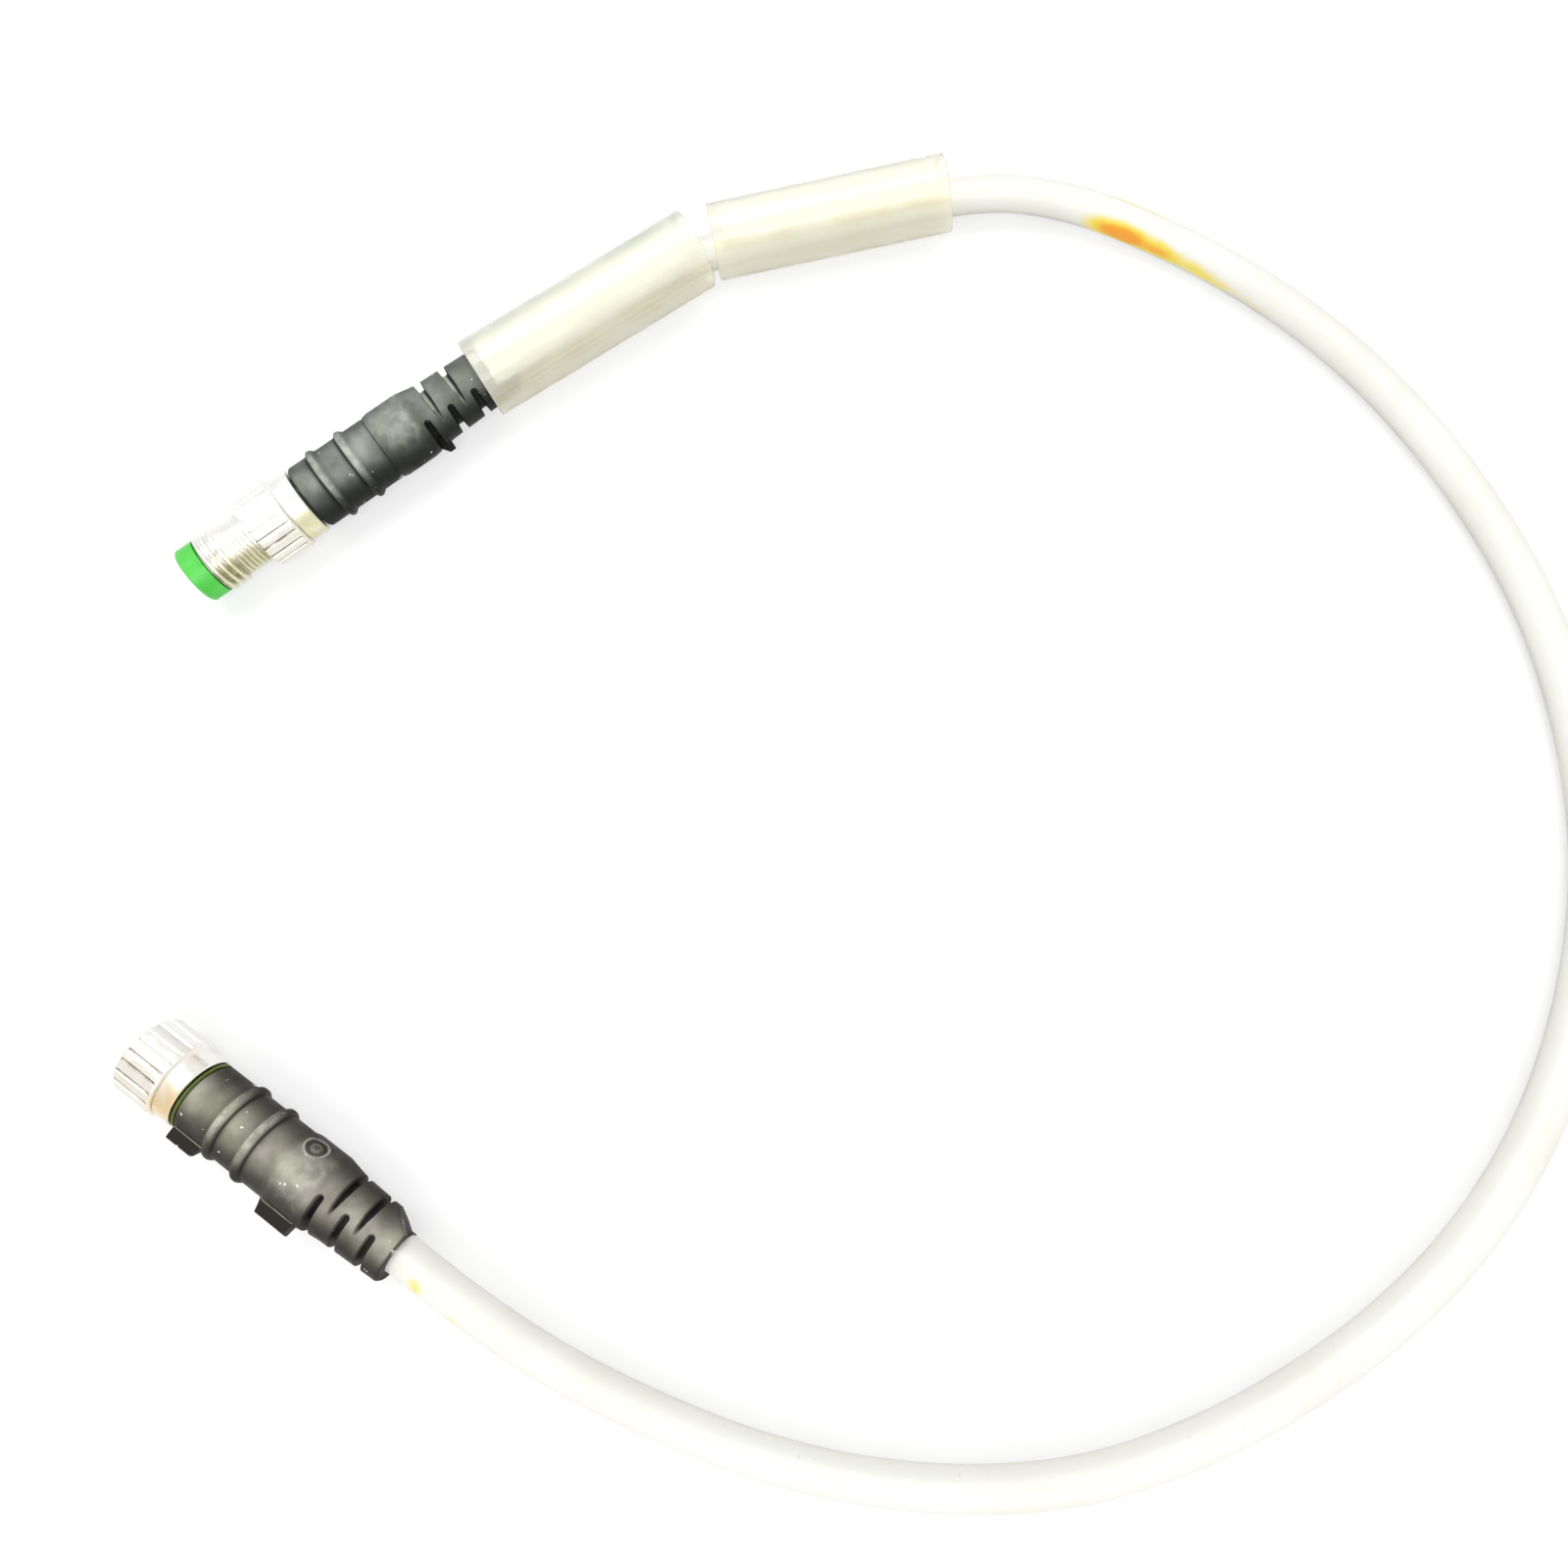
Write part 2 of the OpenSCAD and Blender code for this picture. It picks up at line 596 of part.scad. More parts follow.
// Sweep of a polygon along the route, one ring at each point
function unit(v) = v / norm(v);
function heading(i) = unit(route[min(i + 1, len(route) - 1)] - route[max(i - 1, 0)]);
function ring_at(i) =
    let (t = heading(i), s = unit(cross([0, 0, 1], t)), u = cross(t, s))
    [for (k = [0 : cable_sides - 1])
        let (a = (k + 0.5) * 360 / cable_sides)
        route[i] + cable_d / 2 * (cos(a) * s + sin(a) * u)];

module cable() color([0.92, 0.91, 0.86]) {
    last = len(route) - 1;
    points = [for (i = [0 : last]) each ring_at(i)];
    sides = [for (i = [0 : last - 1], k = [0 : cable_sides - 1])
        let (a = i * cable_sides + k, b = i * cable_sides + (k + 1) % cable_sides)
        each [[a, a + cable_sides, b], [b, a + cable_sides, b + cable_sides]]];
    caps = [for (k = [1 : cable_sides - 2]) each [
        [0, k, k + 1],
        [last * cable_sides, last * cable_sides + k + 1, last * cable_sides + k],
    ]];
    polyhedron(points, concat(sides, caps));
}

cable();
male_grip();
male_jacket_end();
male_premould();
male_carrier();
male_pins();
male_wire_brown();
male_wire_blue();
male_wire_black();
male_strands();
coupling_screw();
female_grip();
female_jacket_end();
female_premould();
female_carrier();
female_contacts();
female_wire_brown();
female_wire_blue();
female_wire_black();
female_strands();
female_o_ring();
female_washer();
coupling_nut();
label_sleeve_1();
label_card_1();
label_sleeve_2();
label_card_2();
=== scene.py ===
import bpy
import math
import numpy as np
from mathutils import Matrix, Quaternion, Vector


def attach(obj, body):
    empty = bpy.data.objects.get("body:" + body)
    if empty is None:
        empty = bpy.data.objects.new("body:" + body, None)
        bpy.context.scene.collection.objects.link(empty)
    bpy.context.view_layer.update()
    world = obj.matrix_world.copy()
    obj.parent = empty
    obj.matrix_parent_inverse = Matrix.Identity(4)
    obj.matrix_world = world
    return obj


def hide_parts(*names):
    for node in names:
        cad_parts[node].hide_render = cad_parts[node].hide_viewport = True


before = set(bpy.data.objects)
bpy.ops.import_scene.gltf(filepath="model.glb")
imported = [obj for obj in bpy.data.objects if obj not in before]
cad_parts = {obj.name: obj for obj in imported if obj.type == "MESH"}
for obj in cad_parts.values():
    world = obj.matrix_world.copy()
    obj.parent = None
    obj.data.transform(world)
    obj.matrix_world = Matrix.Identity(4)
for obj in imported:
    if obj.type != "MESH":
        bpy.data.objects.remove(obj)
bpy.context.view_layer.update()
mm = 0.001      # a millimetre, in metres

# Where the two connectors lie: cable exit in metres, turn about Z and roll about their own axis in degrees
plug = {"exit": (-0.0085, 0.04205, 0.0048), "yaw": 216.5, "roll": -38}
socket = {"exit": (-0.0130, -0.06575, 0.0048), "yaw": 146.8, "roll": 18}


def place(local, where):
    # Turns points in a piece's own frame (millimetres, X along its axis) into the object's frame
    c, s = math.cos(math.radians(where["yaw"])), math.sin(math.radians(where["yaw"]))
    cr, sr = math.cos(math.radians(where["roll"])), math.sin(math.radians(where["roll"]))
    turn = np.array([[c, -s, 0], [s, c, 0], [0, 0, 1]]) @ np.array([[1, 0, 0], [0, cr, -sr], [0, sr, cr]])
    return local * mm @ turn.T + np.array(where["exit"])


# ---- camera and light

# The camera looks down, leaned by tilt about a level line that lies towards degrees from the Y axis
camera = {"place": (0.0405, -0.04535, 0.13578), "tilt": 14.4, "towards": 68.3, "lens": 27.0}


def makeCamera():
    data = bpy.data.cameras.new("camera")
    data.lens = camera["lens"]
    data.sensor_width = 36
    data.clip_start = 0.01
    data.clip_end = 20
    made = bpy.data.objects.new("camera", data)
    bpy.context.scene.collection.objects.link(made)
    towards = math.radians(camera["towards"])
    made.location = camera["place"]
    made.rotation_mode = "QUATERNION"
    made.rotation_quaternion = Quaternion(
        (math.sin(towards), math.cos(towards), 0), math.radians(camera["tilt"]))
    bpy.context.scene.camera = made
    print("camera made")


makeCamera()

studio = {
    "skyLight": 0.58,          # strength of the even light from all round
    "lamps": [("softbox", 6.2, (-0.20, 0.52, 1.20)), ("fill", 4.6, (0.10, -0.75, 0.88))],
    "lampSize": 0.8,
    "aim": (0.03, -0.01, 0.0),              # where both lamps point
    "floorSize": 4.0, "floorColor": (0.42, 0.42, 0.42), "floorLift": 0.64,
    "bounceColor": (0.78, 0.77, 0.75),      # the floor as the object's matt faces see it
}


def addLamp(name, power, where):
    data = bpy.data.lights.new(name, "AREA")
    data.shape = "DISK"
    data.size = studio["lampSize"]
    data.energy = power
    lamp = bpy.data.objects.new(name, data)
    bpy.context.scene.collection.objects.link(lamp)
    lamp.location = where
    away = Vector(where) - Vector(studio["aim"])
    lamp.rotation_euler = away.to_track_quat("Z", "Y").to_euler()


def mathNode(tree, operation, a, b):
    # A Math node whose two entries are other nodes' outputs or plain numbers
    node = tree.nodes.new("ShaderNodeMath")
    node.operation = operation
    for entry, value in zip(node.inputs, (a, b)):
        if isinstance(value, (int, float)):
            entry.default_value = value
        else:
            tree.links.new(value, entry)
    return node.outputs[0]


def seenDirectly(tree):
    # 1 for a ray that comes from the camera, straight or by way of gloss and glass, and 0 once it has met
    # a matt surface
    path = tree.nodes.new("ShaderNodeLightPath").outputs
    seen = mathNode(tree, "MAXIMUM", path["Is Camera Ray"], path["Is Glossy Ray"])
    seen = mathNode(tree, "MAXIMUM", seen, path["Is Transmission Ray"])
    before = mathNode(tree, "LESS_THAN", path["Diffuse Depth"], 0.5)
    return mathNode(tree, "MULTIPLY", seen, before)


def makeStudio():
    world = bpy.data.worlds.new("studio")
    bpy.context.scene.world = world
    world.use_nodes = True
    tree = world.node_tree
    tree.nodes.clear()
    strength = tree.nodes.new("ShaderNodeMapRange")
    strength.inputs["To Min"].default_value = studio["skyLight"]
    strength.inputs["To Max"].default_value = 1.0
    tree.links.new(seenDirectly(tree), strength.inputs["Value"])
    back = tree.nodes.new("ShaderNodeBackground")
    back.inputs["Color"].default_value = (1, 1, 1, 1)
    tree.links.new(strength.outputs["Result"], back.inputs["Strength"])
    out = tree.nodes.new("ShaderNodeOutputWorld")
    tree.links.new(back.outputs[0], out.inputs["Surface"])
    for lamp in studio["lamps"]:
        addLamp(*lamp)
    # The floor: a pale matt plane that keeps the shadow and looks near white
    half = studio["floorSize"] / 2
    mesh = bpy.data.meshes.new("floor")
    mesh.from_pydata([(-half, -half, 0), (half, -half, 0), (half, half, 0), (-half, half, 0)],
                     [], [(0, 1, 2, 3)])
    floor = bpy.data.objects.new("floor", mesh)
    bpy.context.scene.collection.objects.link(floor)
    material = bpy.data.materials.new("floorPaper")
    material.use_nodes = True
    tree = material.node_tree
    shader = tree.nodes["Principled BSDF"]
    tone = tree.nodes.new("ShaderNodeMix")
    tone.data_type = "RGBA"
    tone.inputs[6].default_value = (*studio["bounceColor"], 1)
    tone.inputs[7].default_value = (*studio["floorColor"], 1)
    direct = seenDirectly(tree)
    tree.links.new(direct, tone.inputs["Factor"])
    tree.links.new(tone.outputs[2], shader.inputs["Base Color"])
    shader.inputs["Roughness"].default_value = 0.9
    shader.inputs["Specular IOR Level"].default_value = 0.1
    shader.inputs["Emission Color"].default_value = (1, 1, 1, 1)
    lift = mathNode(tree, "MULTIPLY", direct, studio["floorLift"])
    tree.links.new(lift, shader.inputs["Emission Strength"])
    mesh.materials.append(material)
    bpy.context.scene.view_settings.view_transform = "Standard"
    print("studio made")


makeStudio()

# ---- surfaces from grids of points


def gridFaces(rows, columns, loop):
    # Corner numbers of the quads between neighbouring rings, going round each ring; loop joins the last
    # ring to the first
    r = np.arange(rows if loop else rows - 1)[:, None]
    c = np.arange(columns)[None, :]
    nextRow, nextColumn = (r + 1) % rows, (c + 1) % columns
    quads = np.stack([r * columns + c, r * columns + nextColumn,
                      nextRow * columns + nextColumn, nextRow * columns + c], -1)
    return quads.reshape(-1, 4)


def outwards(points, faces):
    # The signed volume of the closed surface says which way its faces point
    corners = points[faces]
    volume = (np.cross(corners[:, 0] - corners[:, 2], corners[:, 1] - corners[:, 3])
              * corners.mean(1)).sum()
    return faces if volume > 0 else faces[:, ::-1]


def makeSurface(name, rings, body, loop=False, marks=None, sharpAngle=38):
    # rings is an array (rows, columns, 3) in metres. A loop is a hollow body; otherwise each end ring is
    # closed by a fan of triangles round its middle
    rows, columns = rings.shape[:2]
    points = rings.reshape(-1, 3)
    faces = gridFaces(rows, columns, loop)
    triangles = np.zeros((0, 3), int)
    if not loop:
        points = np.vstack([points, rings[0].mean(0), rings[-1].mean(0)])
        c = np.arange(columns)
        n = (c + 1) % columns
        last = (rows - 1) * columns
        triangles = np.vstack([
            np.stack([np.full(columns, rows * columns), n, c], -1),
            np.stack([np.full(columns, rows * columns + 1), last + c, last + n], -1)])
    turned = outwards(points, faces)
    if turned is not faces:
        triangles = triangles[:, ::-1]
    faces = turned
    mesh = bpy.data.meshes.new(name)
    mesh.vertices.add(len(points))
    mesh.vertices.foreach_set("co", points.ravel())
    corners = np.concatenate([faces.ravel(), triangles.ravel()])
    sizes = np.concatenate([np.full(len(faces), 4), np.full(len(triangles), 3)])
    starts = np.concatenate([[0], np.cumsum(sizes)[:-1]])
    mesh.loops.add(len(corners))
    mesh.loops.foreach_set("vertex_index", corners.astype(np.int32))
    mesh.polygons.add(len(sizes))
    mesh.polygons.foreach_set("loop_start", starts.astype(np.int32))
    mesh.update(calc_edges=True)
    for title, values in (marks or {}).items():
        layer = mesh.attributes.new(title, "FLOAT", "POINT")
        full = np.zeros(len(points))
        full[:rows * columns] = np.asarray(values).ravel()
        layer.data.foreach_set("value", full.astype(np.float32))
    mesh.shade_smooth()
    mesh.set_sharp_from_angle(angle=math.radians(sharpAngle))
    made = bpy.data.objects.new(name, mesh)
    bpy.context.scene.collection.objects.link(made)
    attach(made, body)
    return made


def smoothStep(x):
    # Rises from 0 to 1 as x goes from 0 to 1, level at both ends
    x = np.clip(x, 0, 1)
    return x * x * (3 - 2 * x)


def fullTurn(columns):
    # Equal angles once round, in radians
    return np.arange(columns) * 2 * math.pi / columns


def degreesFrom(angle, turn):
    # How far each angle, in radians, lies from turn, in degrees: between -180 and 180
    return (np.degrees(angle) - turn + 180) % 360 - 180


def roundAxis(x, radius, angle):
    # Points round the X axis, from lengths along it, distances from it and angles round it
    return np.stack([x + 0 * radius, radius * np.cos(angle), radius * np.sin(angle)], -1)


def oneSide(angle, turn, spread):
    # A bell curve round the piece, highest where the angle in degrees is turn
    return np.exp(-(degreesFrom(angle, turn) / spread)**2)[None, :]


def denseNear(start, end, step, edges, fineStep, reach):
    # Places along a line: a coarse step everywhere, and a fine one within reach of each edge
    parts = [np.arange(start, end, step), [end]]
    parts += [np.arange(e - reach, e + reach, fineStep) for e in edges]
    x = np.unique(np.round(np.concatenate(parts), 4))
    x = x[(x >= start) & (x <= end)]
    return x[np.concatenate([[True], np.diff(x) > fineStep * 0.4])]


def softProfile(x, points, radius, step=0.02):
    # A broken line through points, with its corners rounded by averaging over a short stretch
    fine = np.arange(points[0][0] - 1, points[-1][0] + 1, step)
    line = np.interp(fine, *zip(*points))
    width = max(int(radius / step), 1)
    window = np.hanning(2 * width + 1)
    line = np.convolve(np.pad(line, width, "edge"), window, "same")[width:-width]
    return np.interp(x, fine, line / window.sum())


# ---- material helpers


class Look:
    # One procedural material: its shader, and short calls that add a node and join it up
    def __init__(self, name, color, roughness, **settings):
        self.material = bpy.data.materials.new(name)
        self.material.use_nodes = True
        self.nodes, self.links = self.material.node_tree.nodes, self.material.node_tree.links
        self.shader = self.nodes["Principled BSDF"]
        self.shader.inputs["Base Color"].default_value = (*color, 1)
        self.shader.inputs["Roughness"].default_value = roughness
        for key, value in settings.items():
            self.shader.inputs[key.replace("_", " ")].default_value = value
        self.space = self.nodes.new("ShaderNodeTexCoord").outputs["Object"]

    def join(self, source, target):
        self.links.new(source, target)

    def noise(self, scale, detail):
        node = self.nodes.new("ShaderNodeTexNoise")
        node.inputs["Scale"].default_value = scale
        node.inputs["Detail"].default_value = detail
        self.join(self.space, node.inputs["Vector"])
        return node.outputs["Fac"]

    def ramp(self, value, low, high, fromLow=0.0, toHigh=1.0):
        node = self.nodes.new("ShaderNodeMapRange")
        node.interpolation_type = "SMOOTHSTEP"
        node.inputs["From Min"].default_value = low
        node.inputs["From Max"].default_value = high
        node.inputs["To Min"].default_value = fromLow
        node.inputs["To Max"].default_value = toHigh
        self.join(value, node.inputs["Value"])
        return node.outputs["Result"]

    def maths(self, operation, a, b):
        return mathNode(self.material.node_tree, operation, a, b)

    def times(self, a, b):
        return self.maths("MULTIPLY", a, b)

    def mark(self, title):
        node = self.nodes.new("ShaderNodeAttribute")
        node.attribute_name = title
        return node.outputs["Fac"]

    def along(self, where):
        # Distance from a connector's cable exit along its axis, in metres
        yaw = math.radians(where["yaw"])
        axis = (math.cos(yaw), math.sin(yaw), 0)
        node = self.nodes.new("ShaderNodeVectorMath")
        node.operation = "DOT_PRODUCT"
        node.inputs[1].default_value = axis
        self.join(self.space, node.inputs[0])
        return self.maths("SUBTRACT", node.outputs["Value"], float(np.dot(axis, where["exit"])))

    def blend(self, amount, a, b):
        node = self.nodes.new("ShaderNodeMix")
        node.data_type = "RGBA"
        self.join(amount, node.inputs["Factor"])
        for entry, value in ((node.inputs[6], a), (node.inputs[7], b)):      # the node's two colours
            if isinstance(value, tuple):
                entry.default_value = (*value, 1)
            else:
                self.join(value, entry)
        return node.outputs[2]

    def color(self, source):
        self.join(source, self.shader.inputs["Base Color"])

    def roughness(self, source):
        self.join(source, self.shader.inputs["Roughness"])

    def bump(self, height, depth, strength):
        node = self.nodes.new("ShaderNodeBump")
        node.inputs["Strength"].default_value = strength
        node.inputs["Distance"].default_value = depth
        self.join(height, node.inputs["Height"])
        last = self.shader.inputs["Normal"]
        if last.is_linked:
            self.join(last.links[0].from_socket, node.inputs["Normal"])
        self.join(node.outputs["Normal"], last)


def dress(piece, look):
    piece.data.materials.clear()
    piece.data.materials.append(look.material)


# ---- the cable

cable = {
    "diameter": 4.5 * mm,
    "sides": 48,
    "ringGap": 0.6 * mm,
    "plugLead": 6 * mm, "socketLead": 8 * mm,      # straight stretch out of each exit
    "wires": 3, "wireLay": 30 * mm, "wave": 0.006,  # twisted wires inside, and how much they show
    "route": [
        (0.0050, 0.0515, 0.0046), (0.0125, 0.0557, 0.0041), (0.0205, 0.0585, 0.0037),
        (0.0290, 0.0607, 0.0033), (0.0385, 0.0627, 0.0032), (0.0480, 0.0644, 0.0032),
        (0.0565, 0.0646, 0.0031), (0.0650, 0.0626, 0.0028), (0.0730, 0.0588, 0.0025),
        (0.0815, 0.0534, 0.0023), (0.0895, 0.0469, 0.0023), (0.0966, 0.0394, 0.0023),
        (0.1030, 0.0306, 0.0023), (0.1082, 0.0213, 0.0023), (0.1123, 0.0115, 0.0023),
        (0.1151, 0.0010, 0.0023), (0.1164, -0.0095, 0.0023), (0.1163, -0.0200, 0.0023),
        (0.1146, -0.0307, 0.0023), (0.1112, -0.0415, 0.0023), (0.1060, -0.0520, 0.0023),
        (0.0991, -0.0615, 0.0023), (0.0905, -0.0697, 0.0023), (0.0807, -0.0765, 0.0023),
        (0.0701, -0.0820, 0.0023), (0.0590, -0.0857, 0.0023), (0.0475, -0.0871, 0.0023),
        (0.0360, -0.0866, 0.0023), (0.0250, -0.0845, 0.0024), (0.0144, -0.0810, 0.0028),
        (0.0042, -0.0764, 0.0036),
    ],
    # Marks on the jacket: distance along it and angle round it of the middle, half lengths, strength
    "stains": [
        (86.2, 172, 4.8, 36, 1.0), (90.5, 175, 5.0, 33, 0.66), (97.0, 178, 6.5, 30, 0.42),
        (105.0, 184, 5.5, 26, 0.20), (86.5, 50, 4.6, 13, 0.42),
        (334.0, 14, 3.8, 34, 0.22), (328.0, 8, 5.0, 26, 0.17), (344.0, 40, 2.2, 30, 0.20),
        (322.0, 150, 1.4, 20, 0.16), (349.0, 60, 1.2, 26, 0.30),
    ],
    # The last colour on the next line is painted shade for the jacket's underside
    "jacket": (0.930, 0.925, 0.880), "shade": (0.900, 0.888, 0.815), "paintedShade": (0.24, 0.25, 0.20),
    "yellow": (0.98, 0.79, 0.10), "orange": (0.98, 0.40, 0.02), "fleck": (0.62, 0.58, 0.48),
    "shadeSpread": (76, 52),            # degrees, towards the inside and the outside of the loop
}


def ahead(where, length):
    # A point on a connector's axis, that far from its exit
    yaw = math.radians(where["yaw"])
    return np.array(where["exit"]) + length * np.array([math.cos(yaw), math.sin(yaw), 0])


def cableLine():
    # A smooth curve through the route's points: between two points it is a cubic whose slopes there
    # point from the point before to the point after, and which leaves each exit straight
    route = np.array([
        plug["exit"], ahead(plug, -cable["plugLead"]), *cable["route"],
        ahead(socket, -cable["socketLead"]), socket["exit"]])
    gaps = np.linalg.norm(np.diff(route, axis=0), axis=1)
    at = np.concatenate([[0], np.cumsum(gaps)])
    slopes = np.gradient(route, at, axis=0)
    slopes[0] = (route[1] - route[0]) / gaps[0]
    slopes[-1] = (route[-1] - route[-2]) / gaps[-1]
    slopes /= np.linalg.norm(slopes, axis=1)[:, None]
    s = np.linspace(0, at[-1], int(at[-1] / cable["ringGap"]))
    i = np.clip(np.searchsorted(at, s, "right") - 1, 0, len(gaps) - 1)
    t = ((s - at[i]) / gaps[i])[:, None]
    g = gaps[i][:, None]
    return ((2 * t**3 - 3 * t**2 + 1) * route[i] + (t**3 - 2 * t**2 + t) * g * slopes[i]
            + (3 * t**2 - 2 * t**3) * route[i + 1] + (t**3 - t**2) * g * slopes[i + 1])


def makeCable():
    line = cableLine()
    steps = np.linalg.norm(np.diff(line, axis=0), axis=1)
    along = np.concatenate([[0], np.cumsum(steps)])
    heading = np.gradient(line, along, axis=0)
    heading /= np.linalg.norm(heading, axis=1)[:, None]
    side = np.cross([0, 0, 1], heading)
    side /= np.linalg.norm(side, axis=1)[:, None]
    up = np.cross(heading, side)
    angle = fullTurn(cable["sides"])
    # The twisted wires under the jacket show as a very low wave that winds round it
    lay = cable["wires"] * angle[None, :] - 2 * math.pi * along[:, None] / cable["wireLay"]
    radius = cable["diameter"] / 2 * (1 - cable["wave"] * (1 - np.cos(lay)))
    rings = line[:, None] + radius[..., None] * (
        np.cos(angle)[None, :, None] * side[:, None] + np.sin(angle)[None, :, None] * up[:, None])
    stain = np.zeros(rings.shape[:2])
    for middle, turn, halfLength, halfTurn, strength in cable["stains"]:
        lengthwise = (along[:, None] / mm - middle) / halfLength
        around = degreesFrom(angle, turn)[None, :] / halfTurn
        stain = np.maximum(stain, strength * np.exp(-lengthwise**2 - around**2))
    # Painted shade along the underside: a flat-topped bell curve round the lowest point, wider towards the
    # inside of the loop
    off = degreesFrom(angle, 270)
    under = np.exp(-(off / np.where(off < 0, *cable["shadeSpread"]))**4)[None, :] + 0 * stain
    piece = makeSurface("cableJacket", rings, "cord_set", marks={"stain": stain, "under": under})
    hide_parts("cable")
    look = Look("jacketPvc", cable["jacket"], 0.42, Coat_Weight=0.12, Coat_Roughness=0.35,
                Subsurface_Weight=0.12, Subsurface_Scale=0.0012, Subsurface_Radius=(1, 1, 1))
    cloud = look.noise(90, 4)
    fleck = look.ramp(look.noise(1500, 3), 0.70, 0.78, 0.0, 0.5)
    base = look.blend(look.ramp(cloud, 0.35, 0.72), cable["jacket"], cable["shade"])
    # The underside's painted shade, broken up by noise
    patches = look.ramp(look.noise(160, 4), 0.30, 0.70, 0.45, 0.85)
    base = look.blend(look.times(look.mark("under"), patches), base, cable["paintedShade"])
    # The stains: noise makes their edges ragged, and the mark itself keeps them to their places
    ragged = look.maths("ADD", look.mark("stain"),
                        look.times(look.maths("SUBTRACT", look.noise(420, 4), 0.5), 0.35))
    masked = look.times(ragged, look.ramp(look.mark("stain"), 0.04, 0.16))
    base = look.blend(look.ramp(masked, 0.06, 0.45), base, cable["yellow"])
    base = look.blend(look.ramp(masked, 0.36, 0.80), base, cable["orange"])
    look.color(look.blend(fleck, base, cable["fleck"]))
    look.roughness(look.ramp(look.noise(700, 3), 0.3, 0.7, 0.36, 0.52))
    look.bump(look.noise(2600, 3), 0.00002, 0.5)
    look.bump(look.noise(260, 2), 0.00008, 0.4)
    dress(piece, look)
    print("cable made,", round(along[-1] / mm, 1), "mm long")


makeCable()

# ---- the moulded grips

grip = {
    # The turned outline, from the cable end
    "tailR": 3.6, "reliefR": 3.9, "swell": 0.15, "swellLength": 1.2, "waistFrom": 3.2, "waistR": 4.4,
    "waistLength": 8.3, "ringR": 4.2, "stepSlope": 0.9, "stepLength": 3.6, "edge": 0.3, "corner": 0.14,
    "ribH": 0.45, "ribCrest": 0.45, "ribBack": 0.6, "ribFront": 0.35, "ribPitch": 4.25,
    "bevelLength": 3.0, "bevelSlope": 0.65, "lip": 0.12,
    "grooveDepth": 0.13, "grooveHalf": 0.12, "grooveLip": 0.04,
    # The slots: their reach is measured round the grip, for the near ones from the key side
    "slotPitch": 3.55, "slotWidth": 0.85, "slotFloor": 2.85, "slotEdge": 0.14,
    "nearReach": 5.9, "farReach": 7.9, "farTaper": 3.2, "farFade": 1.6,
    # The bars on the key side, with the flash left by the mould along a long one, painted bright as a
    # highlight, and the parting line
    "barHalf": 1.1, "barTaper": 0.75, "barRoot": 3.6, "longBar": 3.0,
    "flashOut": 0.1, "flashHalf": 0.09, "flashH": 0.07,
    "seamHalf": 0.09, "seamH": 0.035, "seamFrom": 3.8,
    # The hollow
    "jacketIn": 13.0, "jacketR": 2.28, "mouldR": 3.13, "seatR": 2.98, "lockR": 2.58,
    "lockFrom": 3.6, "lockTo": 2.4, "carrierIn": 5.0,
    # Painted shade in the hollows of the outline, and dust with a painted sheen, which a long bar carries
    # less of, as painted shade
    "slopeSpan": 0.35, "hollowSpan": 1.1, "hollowDepth": 0.09, "barShade": 0.92,
    "hollowShade": (0.008, 0.008, 0.007), "speck": (0.80, 0.83, 0.80),
}
# Steps along and round, in millimetres: coarse, fine near an edge, and how near that is
gripGrid = {"along": (0.25, 0.06, 0.26), "round": (0.16, 0.05, 0.15), "ribEdges": (-0.6, -0.1, 0.4)}
roundMark = {
    "behindStep": 2.3, "turn": 134, "radius": 1.3, "depth": 0.10, "wall": 0.16,
    "rimOut": 0.08, "rimHalf": 0.11, "rimH": 0.08, "bossR": 0.6, "bossH": 0.09,
    "rimWorn": 0.75, "bossWorn": 0.35, "bossEdgeR": 0.55, "bossEdgeHalf": 0.13,
    "hollowShade": 0.45, "hollowShadeFrom": 0.7,
}
# Bars on the key side: start and end along X, top radius, back and front slopes. Dust and a painted sheen
# lie round a turn, with a spread on each side, all in degrees
plugGrip = {"tail": 4.4, "front": 30.5, "mark": False, "groove": True, "slotDustLight": 1.0, "shadeSide": 1,
            "dustSheenTurn": 106, "dustSheenSpread": (29, 52),
            "bars": [(11.55, 13.55, 5.0, 0.05, 1.1)],
            "color": (0.014, 0.016, 0.014), "dustSheen": (0.40, 0.43, 0.395), "dustSheenOther": (0.27, 0.295, 0.25),
            "wornHighlight": (0.58, 0.60, 0.52)}
socketGrip = {"tail": 1.4, "front": 29.1, "mark": True, "groove": False, "slotDustLight": 0.0, "shadeSide": -1,
              "dustSheenTurn": 88, "dustSheenSpread": (30, 36),
              "bars": [(11.1, 16.25, 5.65, 0.15, 0.7), (24.7, 29.1, 5.45, 0.9, 0.02)],
              "color": (0.024, 0.020, 0.017), "dustSheen": (0.46, 0.435, 0.375), "dustSheenOther": (0.47, 0.47, 0.36),
              "wornHighlight": (0.60, 0.59, 0.50)}


def gripPlaces(own):
    # Lengths from the cable end: the front far slot, the step, and the two ribs
    slot = grip["bevelLength"] + own["tail"] + grip["slotPitch"]
    step = slot + grip["waistLength"]
    backRib = step + grip["stepLength"]
    return slot, step, backRib, backRib + grip["ribPitch"]


